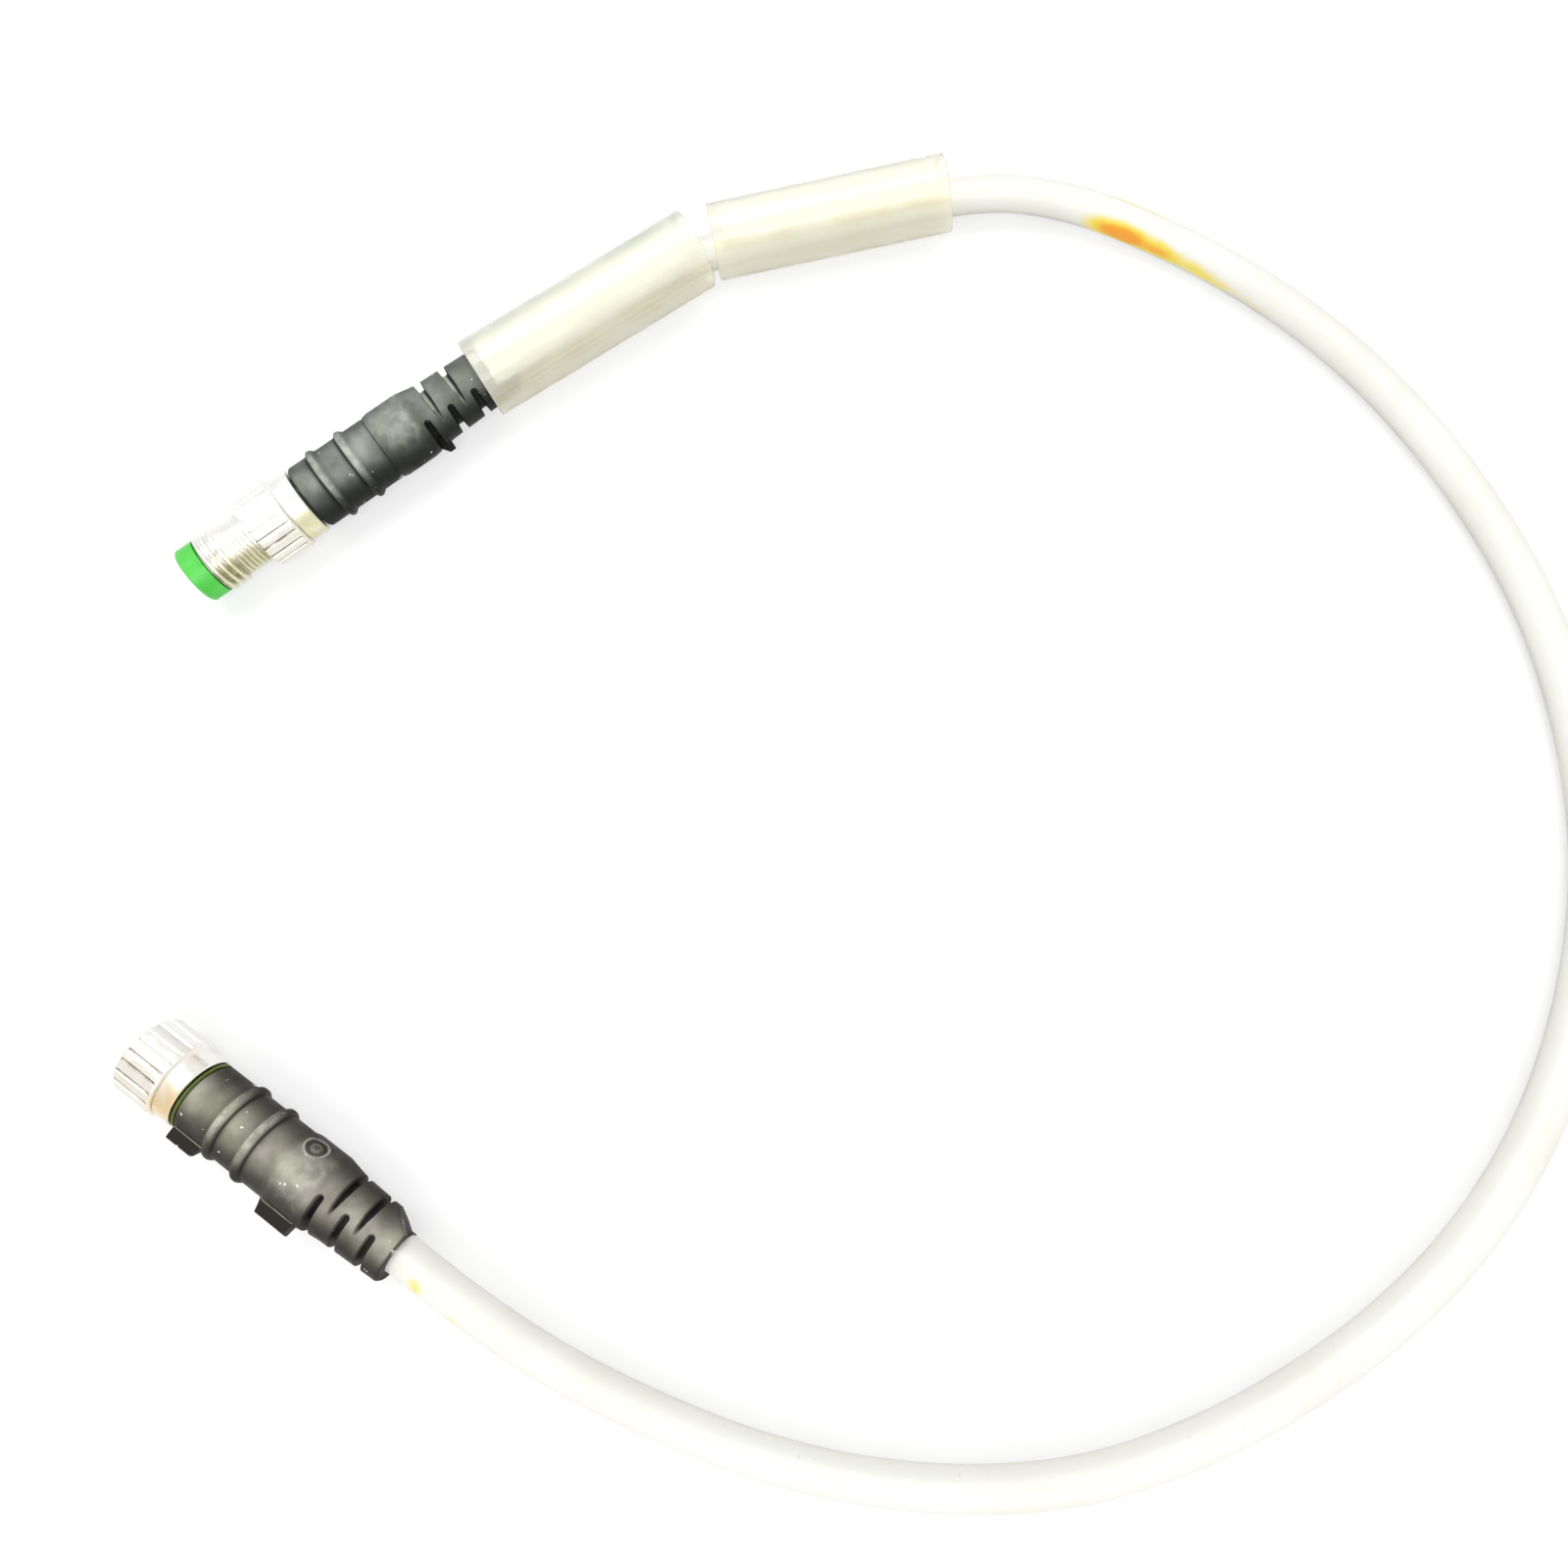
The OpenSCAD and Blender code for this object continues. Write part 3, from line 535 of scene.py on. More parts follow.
def gripOutline(own):
    # The turned outline as a broken line of lengths and radii
    slot, step, *ribs = gripPlaces(own)
    ringR, edge, half = grip["ringR"], grip["edge"], grip["ribCrest"] / 2
    foot = [(step, ringR)]
    if own["groove"]:
        foot = [(step - grip["grooveHalf"], ringR + grip["grooveLip"]),
                (step, ringR - grip["grooveDepth"]), (step + grip["grooveHalf"], ringR)]
    ribPoints = [(r + d, ringR + h) for r in ribs for d, h in (
        (-half - grip["ribBack"], 0), (-half, grip["ribH"]), (half, grip["ribH"]),
        (half + grip["ribFront"], 0))]
    return [(0, grip["tailR"] - edge), (edge, grip["tailR"]), (slot, grip["reliefR"]),
            (slot + grip["swellLength"], grip["reliefR"] + grip["swell"]),
            (slot + grip["waistFrom"], grip["waistR"]), (step - grip["stepSlope"], grip["waistR"]),
            *foot, *ribPoints, (own["front"] - edge, ringR), (own["front"], ringR - edge)]


def gripRadius(x, angle, own):
    # Radius over length (down) and angle (across): a turned profile with softened corners, cut down to the
    # slot's floor within half a slot's width of each slot's middle line. Bars are flat tops over the key side
    slot, step = gripPlaces(own)[:2]
    profile = gripOutline(own)
    base = softProfile(x, profile, grip["corner"])[:, None]
    # Painted shade lies where the outline is lower than its average over a longer stretch, and more on one
    # slope, the shaded one
    slope = np.gradient(softProfile(x, profile, grip["slopeSpan"]), x)[:, None]
    hollow = (softProfile(x, profile, grip["hollowSpan"])[:, None] - base) / grip["hollowDepth"]
    hollowShade = np.clip(hollow, 0, 1) * np.interp(own["shadeSide"] * slope, [-0.30, 0.10], [1.0, 0.2])
    radius = base + 0 * angle[None, :]
    wearAndHighlight, barInShade, hollowShade = 0 * radius, 0 * radius, hollowShade + 0 * radius
    away = np.abs(angle)[None, :]
    halfWidth = grip["slotWidth"] / 2
    # The near slots have round ends
    for k in (-3, -1, 1):
        end = np.maximum(grip["reliefR"] * away - grip["nearReach"] + halfWidth, 0)
        gap = np.hypot(x[:, None] - slot - k * grip["slotPitch"] / 2, end) - halfWidth
        cut = smoothStep(0.5 - gap / grip["slotEdge"])
        radius -= (base - grip["slotFloor"]) * cut
        # The slot's floor is painted dark, as shade
        hollowShade = np.maximum(hollowShade, cut)
    # The far slots get narrower and shallower towards theirs
    for k in (-1, 0):
        left = grip["farReach"] - grip["reliefR"] * (math.pi - away)
        taper = np.clip(left / grip["farTaper"], 0, 1)
        forward = x[:, None] - slot - k * grip["slotPitch"]
        gap = np.abs(forward) - halfWidth * taper**0.6
        cut = smoothStep(0.5 - gap / grip["slotEdge"]) * smoothStep(left / grip["farFade"])
        radius -= (base - grip["slotFloor"]) * cut
        # Dust and painted light on the slot's front wall, painted shade on the rest of its floor
        dustyLitWall = smoothStep(forward / 0.3 + 0.6) * own["slotDustLight"]      # dust on the slot's front wall
        wearAndHighlight = np.maximum(wearAndHighlight, cut * dustyLitWall)
        hollowShade = np.maximum(hollowShade, cut * (1 - dustyLitWall))
    for start, end, top, back, front in own["bars"]:
        height = np.interp(x, [start, start + back, end - front, end],
                           [grip["barRoot"], top, top, grip["barRoot"]])[:, None]
        flat = height / np.cos(np.minimum(away, 1.0))
        offset = grip["ringR"] * angle[None, :]
        within = ((x >= start) & (x <= end))[:, None]
        inside = smoothStep((grip["barHalf"] - np.abs(offset)) / grip["barTaper"]) * within
        radius += inside * np.maximum(flat - radius, 0)
        isLong = end - start > grip["longBar"]
        flashAndHighlight = np.exp(-((offset - grip["barHalf"] - grip["flashOut"]) / grip["flashHalf"])**2)
        flashAndHighlight = flashAndHighlight * within * isLong
        radius += grip["flashH"] * flashAndHighlight
        # The flash is painted bright: a painted highlight
        wearAndHighlight = np.maximum(wearAndHighlight, flashAndHighlight)
        barInShade = np.maximum(barInShade, inside * isLong)
    # A slanted flat cuts the cable end on the far side
    facing = np.maximum(-np.cos(angle), 0.001)[None, :]
    rise = grip["tailR"] - grip["bevelSlope"] * (grip["bevelLength"] - x[:, None])
    bevel = np.where((away > math.pi / 2) & (x[:, None] < grip["bevelLength"]), rise / facing, np.inf)
    radius = np.minimum(radius, np.maximum(bevel, grip["jacketR"] + grip["lip"]))
    if own["mark"]:
        radius, wearAndHighlight, hollowShade = addRoundMark(x, angle, step, radius, wearAndHighlight, hollowShade)
    seam = np.minimum(away, math.pi - away) * grip["ringR"]
    radius += grip["seamH"] * np.exp(-(seam / grip["seamHalf"])**2) * (radius > grip["seamFrom"])
    return radius, hollowShade, wearAndHighlight, barInShade


def addRoundMark(x, angle, step, radius, wearAndHighlight, hollowShade):
    # A shallow round hollow with a raised rim and a small boss: each is a soft step or a bell curve in the
    # distance from the mark's middle
    own = roundMark
    away = np.hypot(x[:, None] - (step - own["behindStep"]),
                    grip["waistR"] * (angle[None, :] - math.radians(own["turn"])))
    hollow = smoothStep((own["radius"] - away) / own["wall"])
    rim = np.exp(-((away - own["radius"] - own["rimOut"]) / own["rimHalf"])**2)
    boss = smoothStep((own["bossR"] - away) / own["wall"])
    bossEdge = np.exp(-((away - own["bossEdgeR"]) / own["bossEdgeHalf"])**2)
    radius = radius - own["depth"] * hollow + own["rimH"] * rim + own["bossH"] * boss
    wearAndHighlight = np.maximum(wearAndHighlight, own["rimWorn"] * rim + own["bossWorn"] * bossEdge)
    # The mark's hollow is painted darker, as shade, outside its middle
    return radius, wearAndHighlight, np.maximum(hollowShade, own["hollowShade"] * hollow * (away > own["hollowShadeFrom"]))


def makeGrip(name, node, own, where):
    slot, step, *ribs = gripPlaces(own)
    halfWidth = grip["slotWidth"] / 2
    edges = [slot + k * grip["slotPitch"] / 2 + s * halfWidth for k in range(-3, 2) for s in (-1, 1)]
    edges += [rib + d for rib in ribs for d in gripGrid["ribEdges"]]
    edges += [grip["edge"] / 2, grip["bevelLength"], step - grip["stepSlope"], step,
              own["front"] - grip["edge"] / 2]
    edges += [v for bar in own["bars"] for v in (bar[0] + bar[3] / 2, bar[1] - bar[4] / 2)]
    if own["mark"]:
        edges += [step - roundMark["behindStep"] + s * roundMark["radius"] for s in (-1, 1)]
    coarse, fine, reach = gripGrid["along"]
    x = denseNear(0, own["front"], coarse, edges, fine, reach)
    coarse, fine, reach = gripGrid["round"]
    arc = math.pi * grip["ringR"]
    angle = denseNear(-arc, arc - coarse, coarse, [-grip["barHalf"], grip["barHalf"]], fine, reach)
    angle /= grip["ringR"]
    outer, hollowShade, wearAndHighlight, barInShade = gripRadius(x, angle, own)
    front, back = own["front"], own["front"] - grip["carrierIn"]
    inner = np.array([
        (front, grip["seatR"]), (front - grip["lockTo"], grip["seatR"]),
        (front - grip["lockTo"], grip["lockR"]), (front - grip["lockFrom"], grip["lockR"]),
        (front - grip["lockFrom"], grip["seatR"]), (back, grip["seatR"]), (back, grip["mouldR"]),
        (grip["jacketIn"], grip["mouldR"]), (grip["jacketIn"], grip["jacketR"]),
        (0, grip["jacketR"])])
    lengths = np.concatenate([x, inner[:, 0]])[:, None]
    radii = np.vstack([outer, inner[:, 1:] + 0 * angle[None, :]])
    # What stands proud of a plain cone is rubbed, and shows as wear with a painted highlight where the sheen
    # lies
    plain = np.concatenate([softProfile(x, [(0, grip["reliefR"]), (front, grip["ringR"])], 0.1),
                            inner[:, 1]])[:, None]
    proud = np.clip((radii - plain) / 0.5, 0, 1)
    # Dust and a painted sheen lie along one side of the top: round the piece they are a bell curve with a
    # width of their own on each side
    off = degreesFrom(angle, own["dustSheenTurn"])
    dustAndSheen = np.exp(-(off / np.where(off < 0, *own["dustSheenSpread"]))**2)[None, :]
    # A long bar loses most of the dust and sheen, so it is painted darker, as shade
    dustAndSheen = dustAndSheen * (1 - grip["barShade"] * barInShade)
    unseen = np.zeros((len(inner), len(angle)))
    marks = {"proud": proud, "crease": np.vstack([hollowShade, unseen]), "wearAndHighlight": np.vstack([wearAndHighlight, unseen]),
             "dustAndSheen": np.vstack([dustAndSheen, unseen])}
    rings = place(roundAxis(lengths, radii, angle), where)
    piece = makeSurface(name, rings, "cord_set", loop=True, marks=marks, sharpAngle=50)
    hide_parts(node)
    dress(piece, makeGripLook(name + "Moulding", own))
    print(name, "made")


def makeGripLook(name, own):
    look = Look(name, own["color"], 0.5, Specular_IOR_Level=0.12)
    dustAndSheen = look.mark("dustAndSheen")
    # Dust with a painted sheen along one side of the top
    dustSheen = look.blend(look.ramp(look.noise(150, 3), 0.40, 0.62), own["dustSheen"], own["dustSheenOther"])
    filmWithPaintedLight = look.times(dustAndSheen, look.ramp(look.noise(260, 5), 0.30, 0.70, 0.50, 1.0))
    base = look.blend(filmWithPaintedLight, own["color"], dustSheen)
    # Wear and a painted highlight on the proud crests, only within the dust and sheen band
    high = look.times(look.ramp(look.mark("proud"), 0.45, 0.95, 0.0, 0.9), dustAndSheen)
    rubbedHighlight = look.times(high, look.ramp(look.noise(900, 4), 0.38, 0.62, 0.3, 1.0))
    base = look.blend(rubbedHighlight, base, own["wornHighlight"])
    # Painted shade in the creases, the hollows and the slot floors
    base = look.blend(look.times(look.mark("crease"), 0.93), base, grip["hollowShade"])
    broken = look.ramp(look.noise(700, 4), 0.30, 0.55, 0.35, 1.0)
    # Wear on the round mark and painted highlights on the flash and on the slots' front walls
    base = look.blend(look.times(look.mark("wearAndHighlight"), broken), base, own["wornHighlight"])
    speck = look.ramp(look.noise(1050, 2), 0.715, 0.745, 0.0, 0.95)
    look.color(look.blend(speck, base, grip["speck"]))
    look.roughness(look.ramp(look.noise(500, 4), 0.3, 0.7, 0.40, 0.62))
    look.bump(look.noise(3500, 3), 0.00002, 0.55)
    look.bump(look.noise(420, 3), 0.00010, 0.35)
    return look


makeGrip("plugGrip", "male_grip", plugGrip, plug)
makeGrip("socketGrip", "female_grip", socketGrip, socket)

# ---- the coupling screw and nut

coupling = {
    "collarR": 4.4, "collarLength": 2.7, "knurlR": 4.8, "flutes": 22, "fluteDepth": 0.20,
    "fluteHalf": 0.18, "edge": 0.3, "chamfer": 0.15, "bore": 3.0,
    "threadR": 3.95, "threadDepth": 0.45, "pitch": 1.0,
    "columns": 264, "step": 0.4, "fineStep": 0.07, "reach": 0.3,      # how fine the surface is
    # Painted shade in the collar's foot, between the neck's ridges, in the thread, and inside
    "collarShade": 0.7, "neckShade": 0.62, "threadShade": 0.72, "innerShade": 0.5, "innerTarnishShade": 0.4,
    "leastShade": 0.14, "shadeSpread": 50, "tarnishShadeSpread": 44,          # spreads in degrees
    "color": (0.87, 0.865, 0.84), "hollowShade": (0.15, 0.125, 0.085),
}
# runOut: the lengths over which the thread grows at one end and dies away at the other
# The tarnish colour paints shade: it lies mostly on one side, round the turn given with it
screw = {"back": 30.8, "knurlLength": 5.0, "neckLength": 4.0, "neckR": 3.4, "threadLength": 2.7,
         "runOut": (0.35, 0.30), "threadLead": 0.4, "threadFoot": 0.3,
         "wall": 0.02, "frontDrop": 0.4, "corner": 0.05,              # where the flutes meet the neck
         "ridgeStart": 0.5, "ridgePitch": 0.6, "ridges": 5, "ridgeH": 0.15,
         "ridgeShape": ((0, 0), (0.12, 1), (0.28, 1), (0.40, 0)),
         "tarnishShadeTurn": 48, "tarnishAndShade": (0.72, 0.68, 0.40)}
nut = {"back": 29.7, "knurlLength": 5.5, "lip": 1.6, "threadLength": 5.2, "runOut": (0.6, 0.3),
       "innerStep": 0.08, "wallShade": 0.6, "tarnishShadeTurn": 46, "tarnishAndShade": (0.80, 0.60, 0.34)}


def fluteCut(x, angle, start, end):
    # Depth of the lengthwise flutes: a rounded notch at equal turns, which runs out over the last half
    # millimetre before the collar
    turn = angle * coupling["flutes"] / (2 * math.pi)
    off = (turn - np.round(turn)) * 2 * math.pi * coupling["knurlR"] / coupling["flutes"]
    notch = np.sqrt(np.clip(1 - (off / coupling["fluteHalf"])**2, 0, 1))
    runOut = smoothStep((x - start + 0.1) / 0.5) * (x <= end + 0.001)
    return coupling["fluteDepth"] * runOut[:, None] * notch[None, :]


def threadRise(x, angle):
    # Height of a right-hand thread, from 0 at the root to 1 at the crest: a crest wherever length in pitches
    # less angle in turns is a whole number and a half
    part = (x[:, None] / coupling["pitch"] - angle[None, :] / (2 * math.pi)) % 1
    return np.clip((0.80 - np.abs(part - 0.5) * 2) / 0.52, 0, 1)


def collarShade(x, knurl):
    # Painted shade: a thin bell curve along X where the collar meets the flutes
    return coupling["collarShade"] * np.exp(-((x - knurl + coupling["edge"]) / 0.12)**2)[:, None]


def makeScrew():
    knurl = screw["back"] + coupling["collarLength"]
    neck = knurl + screw["knurlLength"]
    thread = neck + screw["neckLength"]
    front = thread + screw["threadLength"]
    root = coupling["threadR"] - coupling["threadDepth"]
    chamfer, back, lead = coupling["chamfer"], screw["back"], thread - screw["threadLead"]
    flutesEnd = neck - screw["wall"]
    ridges = [(neck + screw["ridgeStart"] + k * screw["ridgePitch"] + d, screw["neckR"] + h * screw["ridgeH"])
              for k in range(screw["ridges"]) for d, h in screw["ridgeShape"]]
    profile = [
        (back, coupling["collarR"] - chamfer), (back + chamfer, coupling["collarR"]),
        (knurl - coupling["edge"], coupling["collarR"]), (knurl, coupling["knurlR"]),
        (neck - coupling["edge"], coupling["knurlR"]),
        (flutesEnd, coupling["knurlR"] - screw["frontDrop"]), (neck, screw["neckR"]), *ridges,
        (thread - screw["threadFoot"], screw["neckR"]), (thread, root), (front, root)]
    angle = fullTurn(coupling["columns"])
    edges = [back + 0.1, knurl - chamfer, neck - chamfer]
    x = np.concatenate([
        denseNear(back, flutesEnd, coupling["step"], edges, coupling["fineStep"], coupling["reach"]),
        np.arange(neck, front, coupling["fineStep"]), [front]])
    # Only the neck and the thread are softened: the wall between flutes and neck stays sharp
    radius = softProfile(x, profile, screw["corner"])[:, None] + 0 * angle[None, :]
    radius[x < neck] = np.interp(x[x < neck], *zip(*profile))[:, None]
    radius[(x >= neck) & (x < neck + screw["ridgeStart"] / 2)] = screw["neckR"]
    flutes = fluteCut(x, angle, knurl, neck)
    radius -= flutes
    runIn, runOut = screw["runOut"]
    grow = smoothStep((x - thread + runIn) / runIn) * smoothStep((front - x) / runOut)
    rise = coupling["threadDepth"] * threadRise(x, angle) * grow[:, None]
    onThread, onNeck = (x > lead)[:, None], ((x > neck) & (x < lead))[:, None]
    radius = np.where(onThread, np.maximum(radius, root + rise), radius)
    # Painted shade in the hollows, from 0 to about 1 where the surface lies deepest
    ridgeDepth = (screw["neckR"] + screw["ridgeH"] - radius) / screw["ridgeH"]
    sunk = (coupling["threadR"] - radius) / 0.4
    deep = flutes / coupling["fluteDepth"] + collarShade(x, knurl)
    deep += onNeck * np.clip(ridgeDepth, 0, 1) * coupling["neckShade"]
    deep += onThread * np.clip(sunk, 0, 1) * coupling["threadShade"]
    bore = coupling["bore"]
    inner = np.array([(front, bore + chamfer), (front - chamfer, bore), (back + chamfer, bore),
                      (back, bore + chamfer)])
    # The tarnish, which paints shade on one side, is full on the collar, thin on the flutes and nearly full
    # on the neck
    filmWithPaintedLight = np.interp(x, [knurl - 0.2, knurl, neck, neck + 0.1], [1.0, 0.35, 0.35, 0.9])[:, None]
    finishCoupling("couplingScrew", "coupling_screw", screw, plug, x, angle, radius, inner, deep,
                   filmWithPaintedLight * oneSide(angle, screw["tarnishShadeTurn"], coupling["tarnishShadeSpread"]))


def makeNut():
    knurl = nut["back"] + coupling["collarLength"]
    front = knurl + nut["knurlLength"]
    root, chamfer, back = coupling["threadR"], coupling["chamfer"], nut["back"]
    profile = [
        (back, coupling["collarR"] - chamfer), (back + chamfer, coupling["collarR"]),
        (knurl - coupling["edge"], coupling["collarR"]), (knurl, coupling["knurlR"]),
        (front - coupling["edge"], coupling["knurlR"]), (front, coupling["knurlR"] - coupling["edge"])]
    angle = fullTurn(coupling["columns"])
    edges = [back + 0.1, knurl - chamfer, front - chamfer]
    x = denseNear(back, front, coupling["step"], edges, coupling["fineStep"], coupling["reach"])
    flutes = fluteCut(x, angle, knurl, front)
    radius = np.interp(x, *zip(*profile))[:, None] - flutes
    # Painted shade in the flutes and the collar's foot; the inner wall below gets an even painted shade
    deep = flutes / coupling["fluteDepth"] + collarShade(x, knurl)
    # The inner wall, from the mouth back: chamfer, thread, wide chamber, lip
    threadEnd = front - nut["threadLength"]
    inside = np.arange(front, threadEnd, -nut["innerStep"])
    runIn, runOut = nut["runOut"]
    grow = smoothStep((front - inside) / runIn) * smoothStep((inside - threadEnd) / runOut)
    wall = root - coupling["threadDepth"] * threadRise(inside, angle) * grow[:, None]
    lip = back + nut["lip"]
    rest = np.array([(threadEnd, root), (lip, root), (lip, coupling["bore"]), (back, coupling["bore"])])
    # The tarnish, which paints shade on one side, is full on the collar and thin on the flutes
    filmWithPaintedLight = np.interp(x, [knurl - 0.2, knurl], [1.0, 0.3])[:, None]
    filmWithPaintedLight = filmWithPaintedLight * oneSide(angle, nut["tarnishShadeTurn"], coupling["tarnishShadeSpread"])
    lengths = np.concatenate([x, inside])
    radius = np.vstack([radius, wall])
    deep = np.vstack([deep, nut["wallShade"] + 0 * wall])
    filmWithPaintedLight = np.vstack([filmWithPaintedLight, coupling["innerTarnishShade"] + 0 * wall])
    finishCoupling("couplingNut", "coupling_nut", nut, socket, lengths, angle, radius, rest, deep, filmWithPaintedLight)


def finishCoupling(name, node, own, where, x, angle, radius, inner, deep, tarnishAndShade):
    # Adds the inner wall, and puts the painted shade of the hollows mostly on one side
    least = coupling["leastShade"]
    deep = deep * (least + (1 - least) * oneSide(angle, own["tarnishShadeTurn"], coupling["shadeSpread"]))
    lengths = np.concatenate([x, inner[:, 0]])[:, None]
    radii = np.vstack([radius, inner[:, 1:] + 0 * angle[None, :]])
    deep = np.vstack([deep, np.full((len(inner), len(angle)), coupling["innerShade"])])
    tarnishAndShade = np.vstack([tarnishAndShade, np.full((len(inner), len(angle)), coupling["innerTarnishShade"])])
    rings = place(roundAxis(lengths, radii, angle), where)
    marks = {"deep": deep, "tarnishAndShade": tarnishAndShade}
    piece = makeSurface(name, rings, node, loop=True, marks=marks, sharpAngle=34)
    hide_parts(node)
    dress(piece, makeMetalLook(name + "Nickel", own["tarnishAndShade"]))
    print(name, "made")


def makeMetalLook(name, tarnishAndShade):
    look = Look(name, coupling["color"], 0.28, Metallic=1.0)
    # The painted shade of the hollows darkens the colour, broken up by noise
    paintedShade = look.times(look.ramp(look.mark("deep"), 0.15, 0.95),
                       look.ramp(look.noise(600, 4), 0.30, 0.60, 0.60, 1.0))
    # A random tarnish, and the tarnish mark, which paints shade on one side
    filmWithPaintedLight = look.maths("MAXIMUM", look.ramp(look.noise(320, 4), 0.50, 0.85, 0.0, 0.35),
                      look.times(look.mark("tarnishAndShade"),
                                 look.ramp(look.noise(500, 4), 0.25, 0.6, 0.55, 1.0)))
    tarnishedAndShaded = look.blend(filmWithPaintedLight, coupling["color"], tarnishAndShade)
    look.color(look.blend(paintedShade, tarnishedAndShaded, coupling["hollowShade"]))
    look.roughness(look.ramp(look.noise(800, 5), 0.30, 0.70, 0.24, 0.40))
    look.bump(look.noise(1800, 4), 0.00001, 0.5)
    return look


makeScrew()
makeNut()

# ---- the label sleeves and the cards in them

sleeve = {
    "wall": 0.5, "edge": 0.08, "sides": 160, "rows": 24,
    "unevenEnd": 0.10,                          # how far the hand-cut ends wander
    "drawDepth": 0.012, "drawLines": (23, 41),  # the lengthwise lines left by the extruder
    # The line colour paints the fine lines and the bands of painted shade; the shade colour is painted shade
    # along one edge
    "color": (0.988, 0.984, 0.885), "line": (0.76, 0.68, 0.34), "shade": (0.50, 0.58, 0.50),
    "shadowPass": 0.04,
}
card = {
    "thickness": 0.15, "clearance": 0.05, "inset": 1.5, "cover": 220, "rows": 72, "columns": 40,
    "slack": 0.03, "curlShare": 0.24,           # room for the sleeve's lines; share of the half that curls
    "rippleH": 0.03, "rippleTurn": 0.55,        # the free edges ripple: height, and radians per millimetre
    "color": (0.90, 0.90, 0.875), "aged": (0.86, 0.845, 0.78),
}
# The card's near edge is measured down from the top in degrees. The painted shade along one edge and the
# lines in
# the wall: angle and width in degrees, strength. Lines 2.5 degrees wide are fine lines in the wall; the wider
# ones are painted shade: the band below the card's edge and the darker lower side
firstSleeve = {"exit": (-0.0117, 0.03965, 0.0051), "yaw": 32.7, "roll": 0, "diameter": 10.2,
               "length": 32.6, "cardEdge": 59, "curlIn": 0.28, "shade": (62, 15, 0.5),
               "lines": [(153, 2.5, 0.36), (162, 2.5, 0.42), (171, 2.5, 0.28), (176, 30, 0.22),
                         (206, 9, 0.3)]}
secondSleeve = {"exit": (0.018065, 0.058435, 0.0047), "yaw": 10.4, "roll": 0, "diameter": 9.4,
                "length": 30.6, "cardEdge": 42, "curlIn": 0.08, "shade": (50, 8, 0.4),
                "lines": [(134, 9, 0.42), (168, 30, 0.20), (206, 9, 0.4)]}


def makeSleeve(name, node, own, phase):
    # A tube: out along the outer wall and back along the inner one. Each end is cut a little off square, so a
    # point's length changes with the sine of its angle, and the walls carry very shallow lines that run
    # lengthwise. The phase makes each sleeve's ends and lines its own
    angle = fullTurn(sleeve["sides"])
    outer = own["diameter"] / 2
    edge, end = sleeve["edge"], own["length"]
    out = np.concatenate([[0, edge], np.linspace(1, end - 1, sleeve["rows"]), [end - edge, end]])
    x = np.concatenate([out, out[::-1]])[:, None] + 0 * angle
    radius = np.full(out.shape, outer)
    radius[[0, -1]] -= edge
    inner = np.full(out.shape, outer - sleeve["wall"])
    inner[[0, -1]] += edge
    wide, narrow = sleeve["drawLines"]
    lines = sleeve["drawDepth"] * (np.sin(wide * angle + phase) + 0.6 * np.sin(narrow * angle))
    radius = np.concatenate([radius, inner])[:, None] - np.abs(lines)
    wander = sleeve["unevenEnd"] * (np.sin(angle + phase) + 0.35 * np.sin(3 * angle + 2 * phase))
    x = np.clip(x + wander * (2 * x / end - 1), 0, end)
    line, shade = (sum(s * np.exp(-((np.degrees(angle) - a) / w)**2) for a, w, s in group) + 0 * x
                   for group in (own["lines"], [own["shade"]]))
    rings = place(roundAxis(x, radius, angle), own)
    piece = makeSurface(name, rings, node, loop=True, marks={"line": line, "shade": shade})
    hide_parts(node)
    dress(piece, sleeveLook)
    print(name, "made")


def makeCard(name, node, own):
    # A curled sheet: a flat oblong section, length by thickness, carried round the sleeve's axis from the
    # near edge over the top. Both free edges bend inwards a little, by the cube of how near the edge is
    outer = own["diameter"] / 2 - sleeve["wall"] - card["clearance"] - card["slack"]
    turn = np.linspace(0, 1, card["rows"])
    angle = np.radians(90 + own["cardEdge"] - card["cover"] * turn)
    along = np.linspace(card["inset"], own["length"] - card["inset"], card["columns"])
    x = np.concatenate([along, along[::-1]])[None, :]
    under = np.repeat([0, card["thickness"]], card["columns"])[None, :]
    outwardShare = np.abs(turn - 0.5) * 2       # 0 at the middle of the card, 1 at its free edges
    share = card["curlShare"]
    nearEdge = np.clip(outwardShare - (1 - share), 0, 1) / share
    ripple = card["rippleH"] * np.abs(np.sin(x * card["rippleTurn"] + 2)) * outwardShare[:, None]**2
    radius = outer - own["curlIn"] * nearEdge[:, None]**3 - ripple - under
    piece = makeSurface(name, place(roundAxis(x, radius, angle[:, None]), own), node)
    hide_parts(node)
    dress(piece, cardLook)
    print(name, "made")


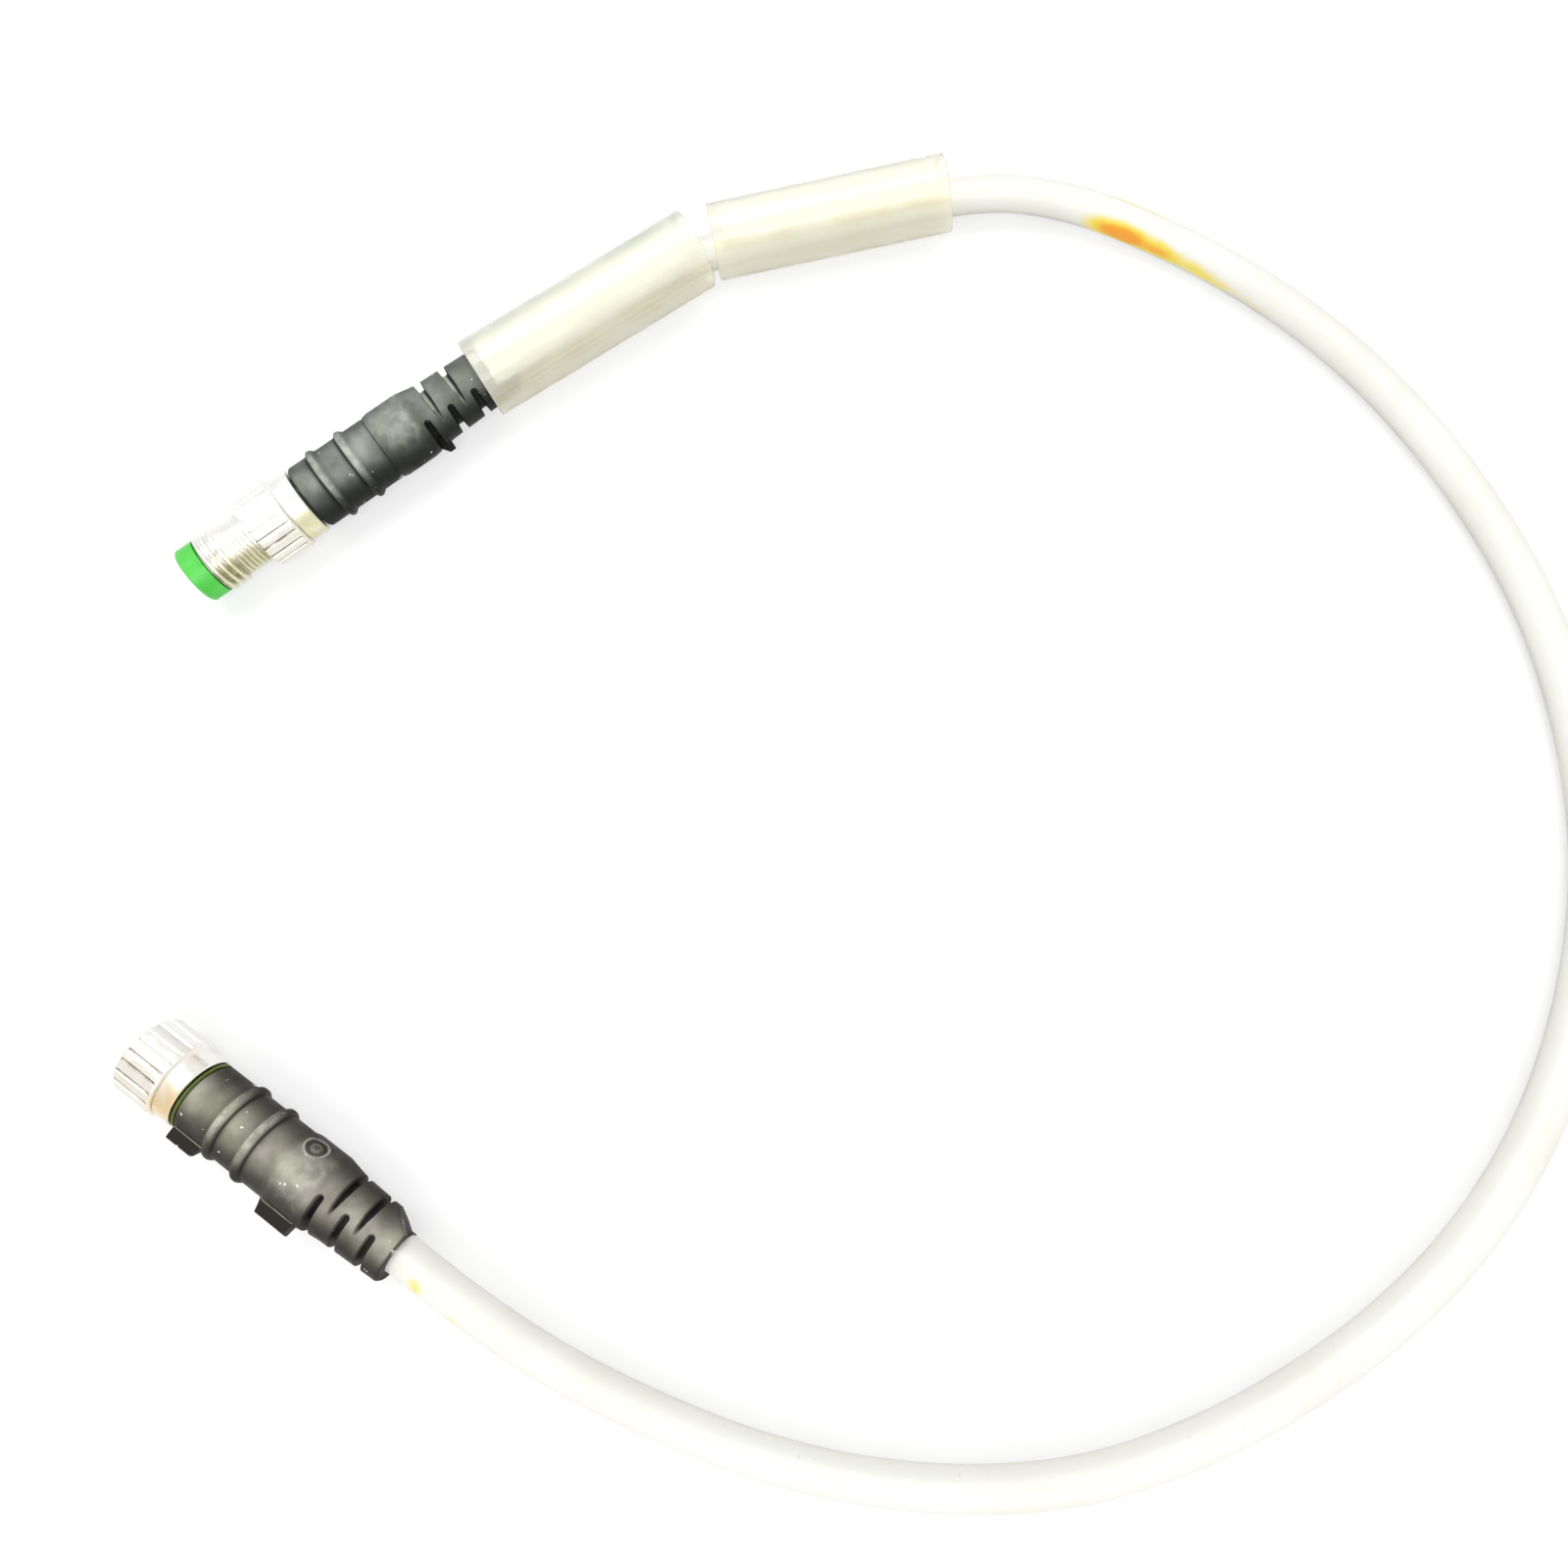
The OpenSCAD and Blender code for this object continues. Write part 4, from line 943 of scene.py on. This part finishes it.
def makeSleeveLook():
    look = Look("clearSleeve", sleeve["color"], 0.10, Transmission_Weight=0.62, IOR=1.45)
    # Light on its way to a lamp passes almost straight through the wall
    path = look.nodes.new("ShaderNodeLightPath")
    solid = look.nodes.new("ShaderNodeMapRange")
    solid.inputs["To Min"].default_value = 1.0
    solid.inputs["To Max"].default_value = sleeve["shadowPass"]
    look.join(path.outputs["Is Shadow Ray"], solid.inputs["Value"])
    look.join(solid.outputs["Result"], look.shader.inputs["Alpha"])
    # Fine lines and bands of painted shade in the wall, and the painted shade along one edge
    streaksAndShade = look.times(look.mark("line"), look.ramp(look.noise(300, 3), 0.3, 0.7, 0.4, 1.0))
    edgeShade = look.times(look.mark("shade"), look.ramp(look.noise(150, 3), 0.3, 0.7, 0.6, 1.0))
    look.color(look.blend(edgeShade, look.blend(streaksAndShade, sleeve["color"], sleeve["line"]), sleeve["shade"]))
    look.roughness(look.ramp(look.noise(420, 4), 0.35, 0.75, 0.06, 0.24))
    look.bump(look.noise(240, 2), 0.00005, 0.35)
    return look


def makeCardLook():
    look = Look("blankCard", card["color"], 0.72, Specular_IOR_Level=0.25, Subsurface_Weight=0.6,
                Subsurface_Scale=0.0006, Subsurface_Radius=(1, 1, 1))
    look.color(look.blend(look.ramp(look.noise(190, 5), 0.40, 0.75), card["color"], card["aged"]))
    look.roughness(look.ramp(look.noise(1500, 3), 0.3, 0.7, 0.62, 0.80))
    look.bump(look.noise(5200, 4), 0.00002, 0.6)
    return look


sleeveLook = makeSleeveLook()
cardLook = makeCardLook()
makeSleeve("labelSleeve1", "label_sleeve_1", firstSleeve, 0.4)
makeSleeve("labelSleeve2", "label_sleeve_2", secondSleeve, 2.1)
makeCard("labelCard1", "label_card_1", firstSleeve)
makeCard("labelCard2", "label_card_2", secondSleeve)

# ---- finishes of the pieces that keep their own mesh

# Each finish varies between two tones and between two roughnesses
finishes = {
    "green": {"color": (0.07, 0.62, 0.055), "other": (0.11, 0.72, 0.09), "rough": (0.28, 0.42),
              "seamAt": 31.2 * mm, "seamFade": 0.2 * mm, "seam": (0.02, 0.07, 0.02)},
    "ivory": {"color": (0.66, 0.62, 0.50), "other": (0.56, 0.52, 0.40), "rough": (0.45, 0.60)},
    "gold": {"color": (0.86, 0.62, 0.24), "other": (0.78, 0.52, 0.18), "rough": (0.16, 0.30)},
    "copper": {"color": (0.80, 0.36, 0.18), "other": (0.60, 0.24, 0.11), "rough": (0.24, 0.42)},
    "brown": {"color": (0.19, 0.075, 0.03), "other": (0.15, 0.06, 0.025), "rough": (0.34, 0.48)},
    "blue": {"color": (0.02, 0.08, 0.40), "other": (0.03, 0.10, 0.46), "rough": (0.34, 0.48)},
    "black": {"color": (0.018, 0.018, 0.018), "other": (0.035, 0.035, 0.033), "rough": (0.34, 0.50)},
    "seal": {"color": (0.014, 0.014, 0.014), "other": (0.03, 0.03, 0.028), "rough": (0.42, 0.60)},
    "washer": {"color": (0.13, 0.17, 0.015), "other": (0.06, 0.09, 0.01), "rough": (0.45, 0.62)},
    "jacketEnd": {"color": cable["jacket"], "other": cable["shade"], "rough": (0.36, 0.52)},
}
wearers = {
    "green": ["male_carrier", "female_carrier"],
    "ivory": ["male_premould", "female_premould"],
    "gold": ["male_pins", "female_contacts"],
    "copper": ["male_strands", "female_strands"],
    "brown": ["male_wire_brown", "female_wire_brown"],
    "blue": ["male_wire_blue", "female_wire_blue"],
    "black": ["male_wire_black", "female_wire_black"],
    "seal": ["female_o_ring"],
    "washer": ["female_washer"],
    "jacketEnd": ["male_jacket_end", "female_jacket_end"],
}


def makeFinish(name):
    own = finishes[name]
    look = Look(name + "Finish", own["color"], own["rough"][0])
    if name in ("gold", "copper"):
        look.shader.inputs["Metallic"].default_value = 1.0
    base = look.blend(look.ramp(look.noise(420, 4), 0.35, 0.70), own["color"], own["other"])
    if "seamAt" in own:
        # Darker behind the coupling screw: where the distance along the plug's axis is under seamAt
        aheadOfSeam = look.ramp(look.along(plug), own["seamAt"] - own["seamFade"], own["seamAt"])
        base = look.blend(aheadOfSeam, own["seam"], base)
    look.color(base)
    look.roughness(look.ramp(look.noise(900, 4), 0.3, 0.7, *own["rough"]))
    look.bump(look.noise(2400, 3), 0.00001, 0.5)
    return look


for name, nodes in wearers.items():
    look = makeFinish(name)
    for node in nodes:
        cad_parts[node].data.materials.clear()
        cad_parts[node].data.materials.append(look.material)
print("finishes made")
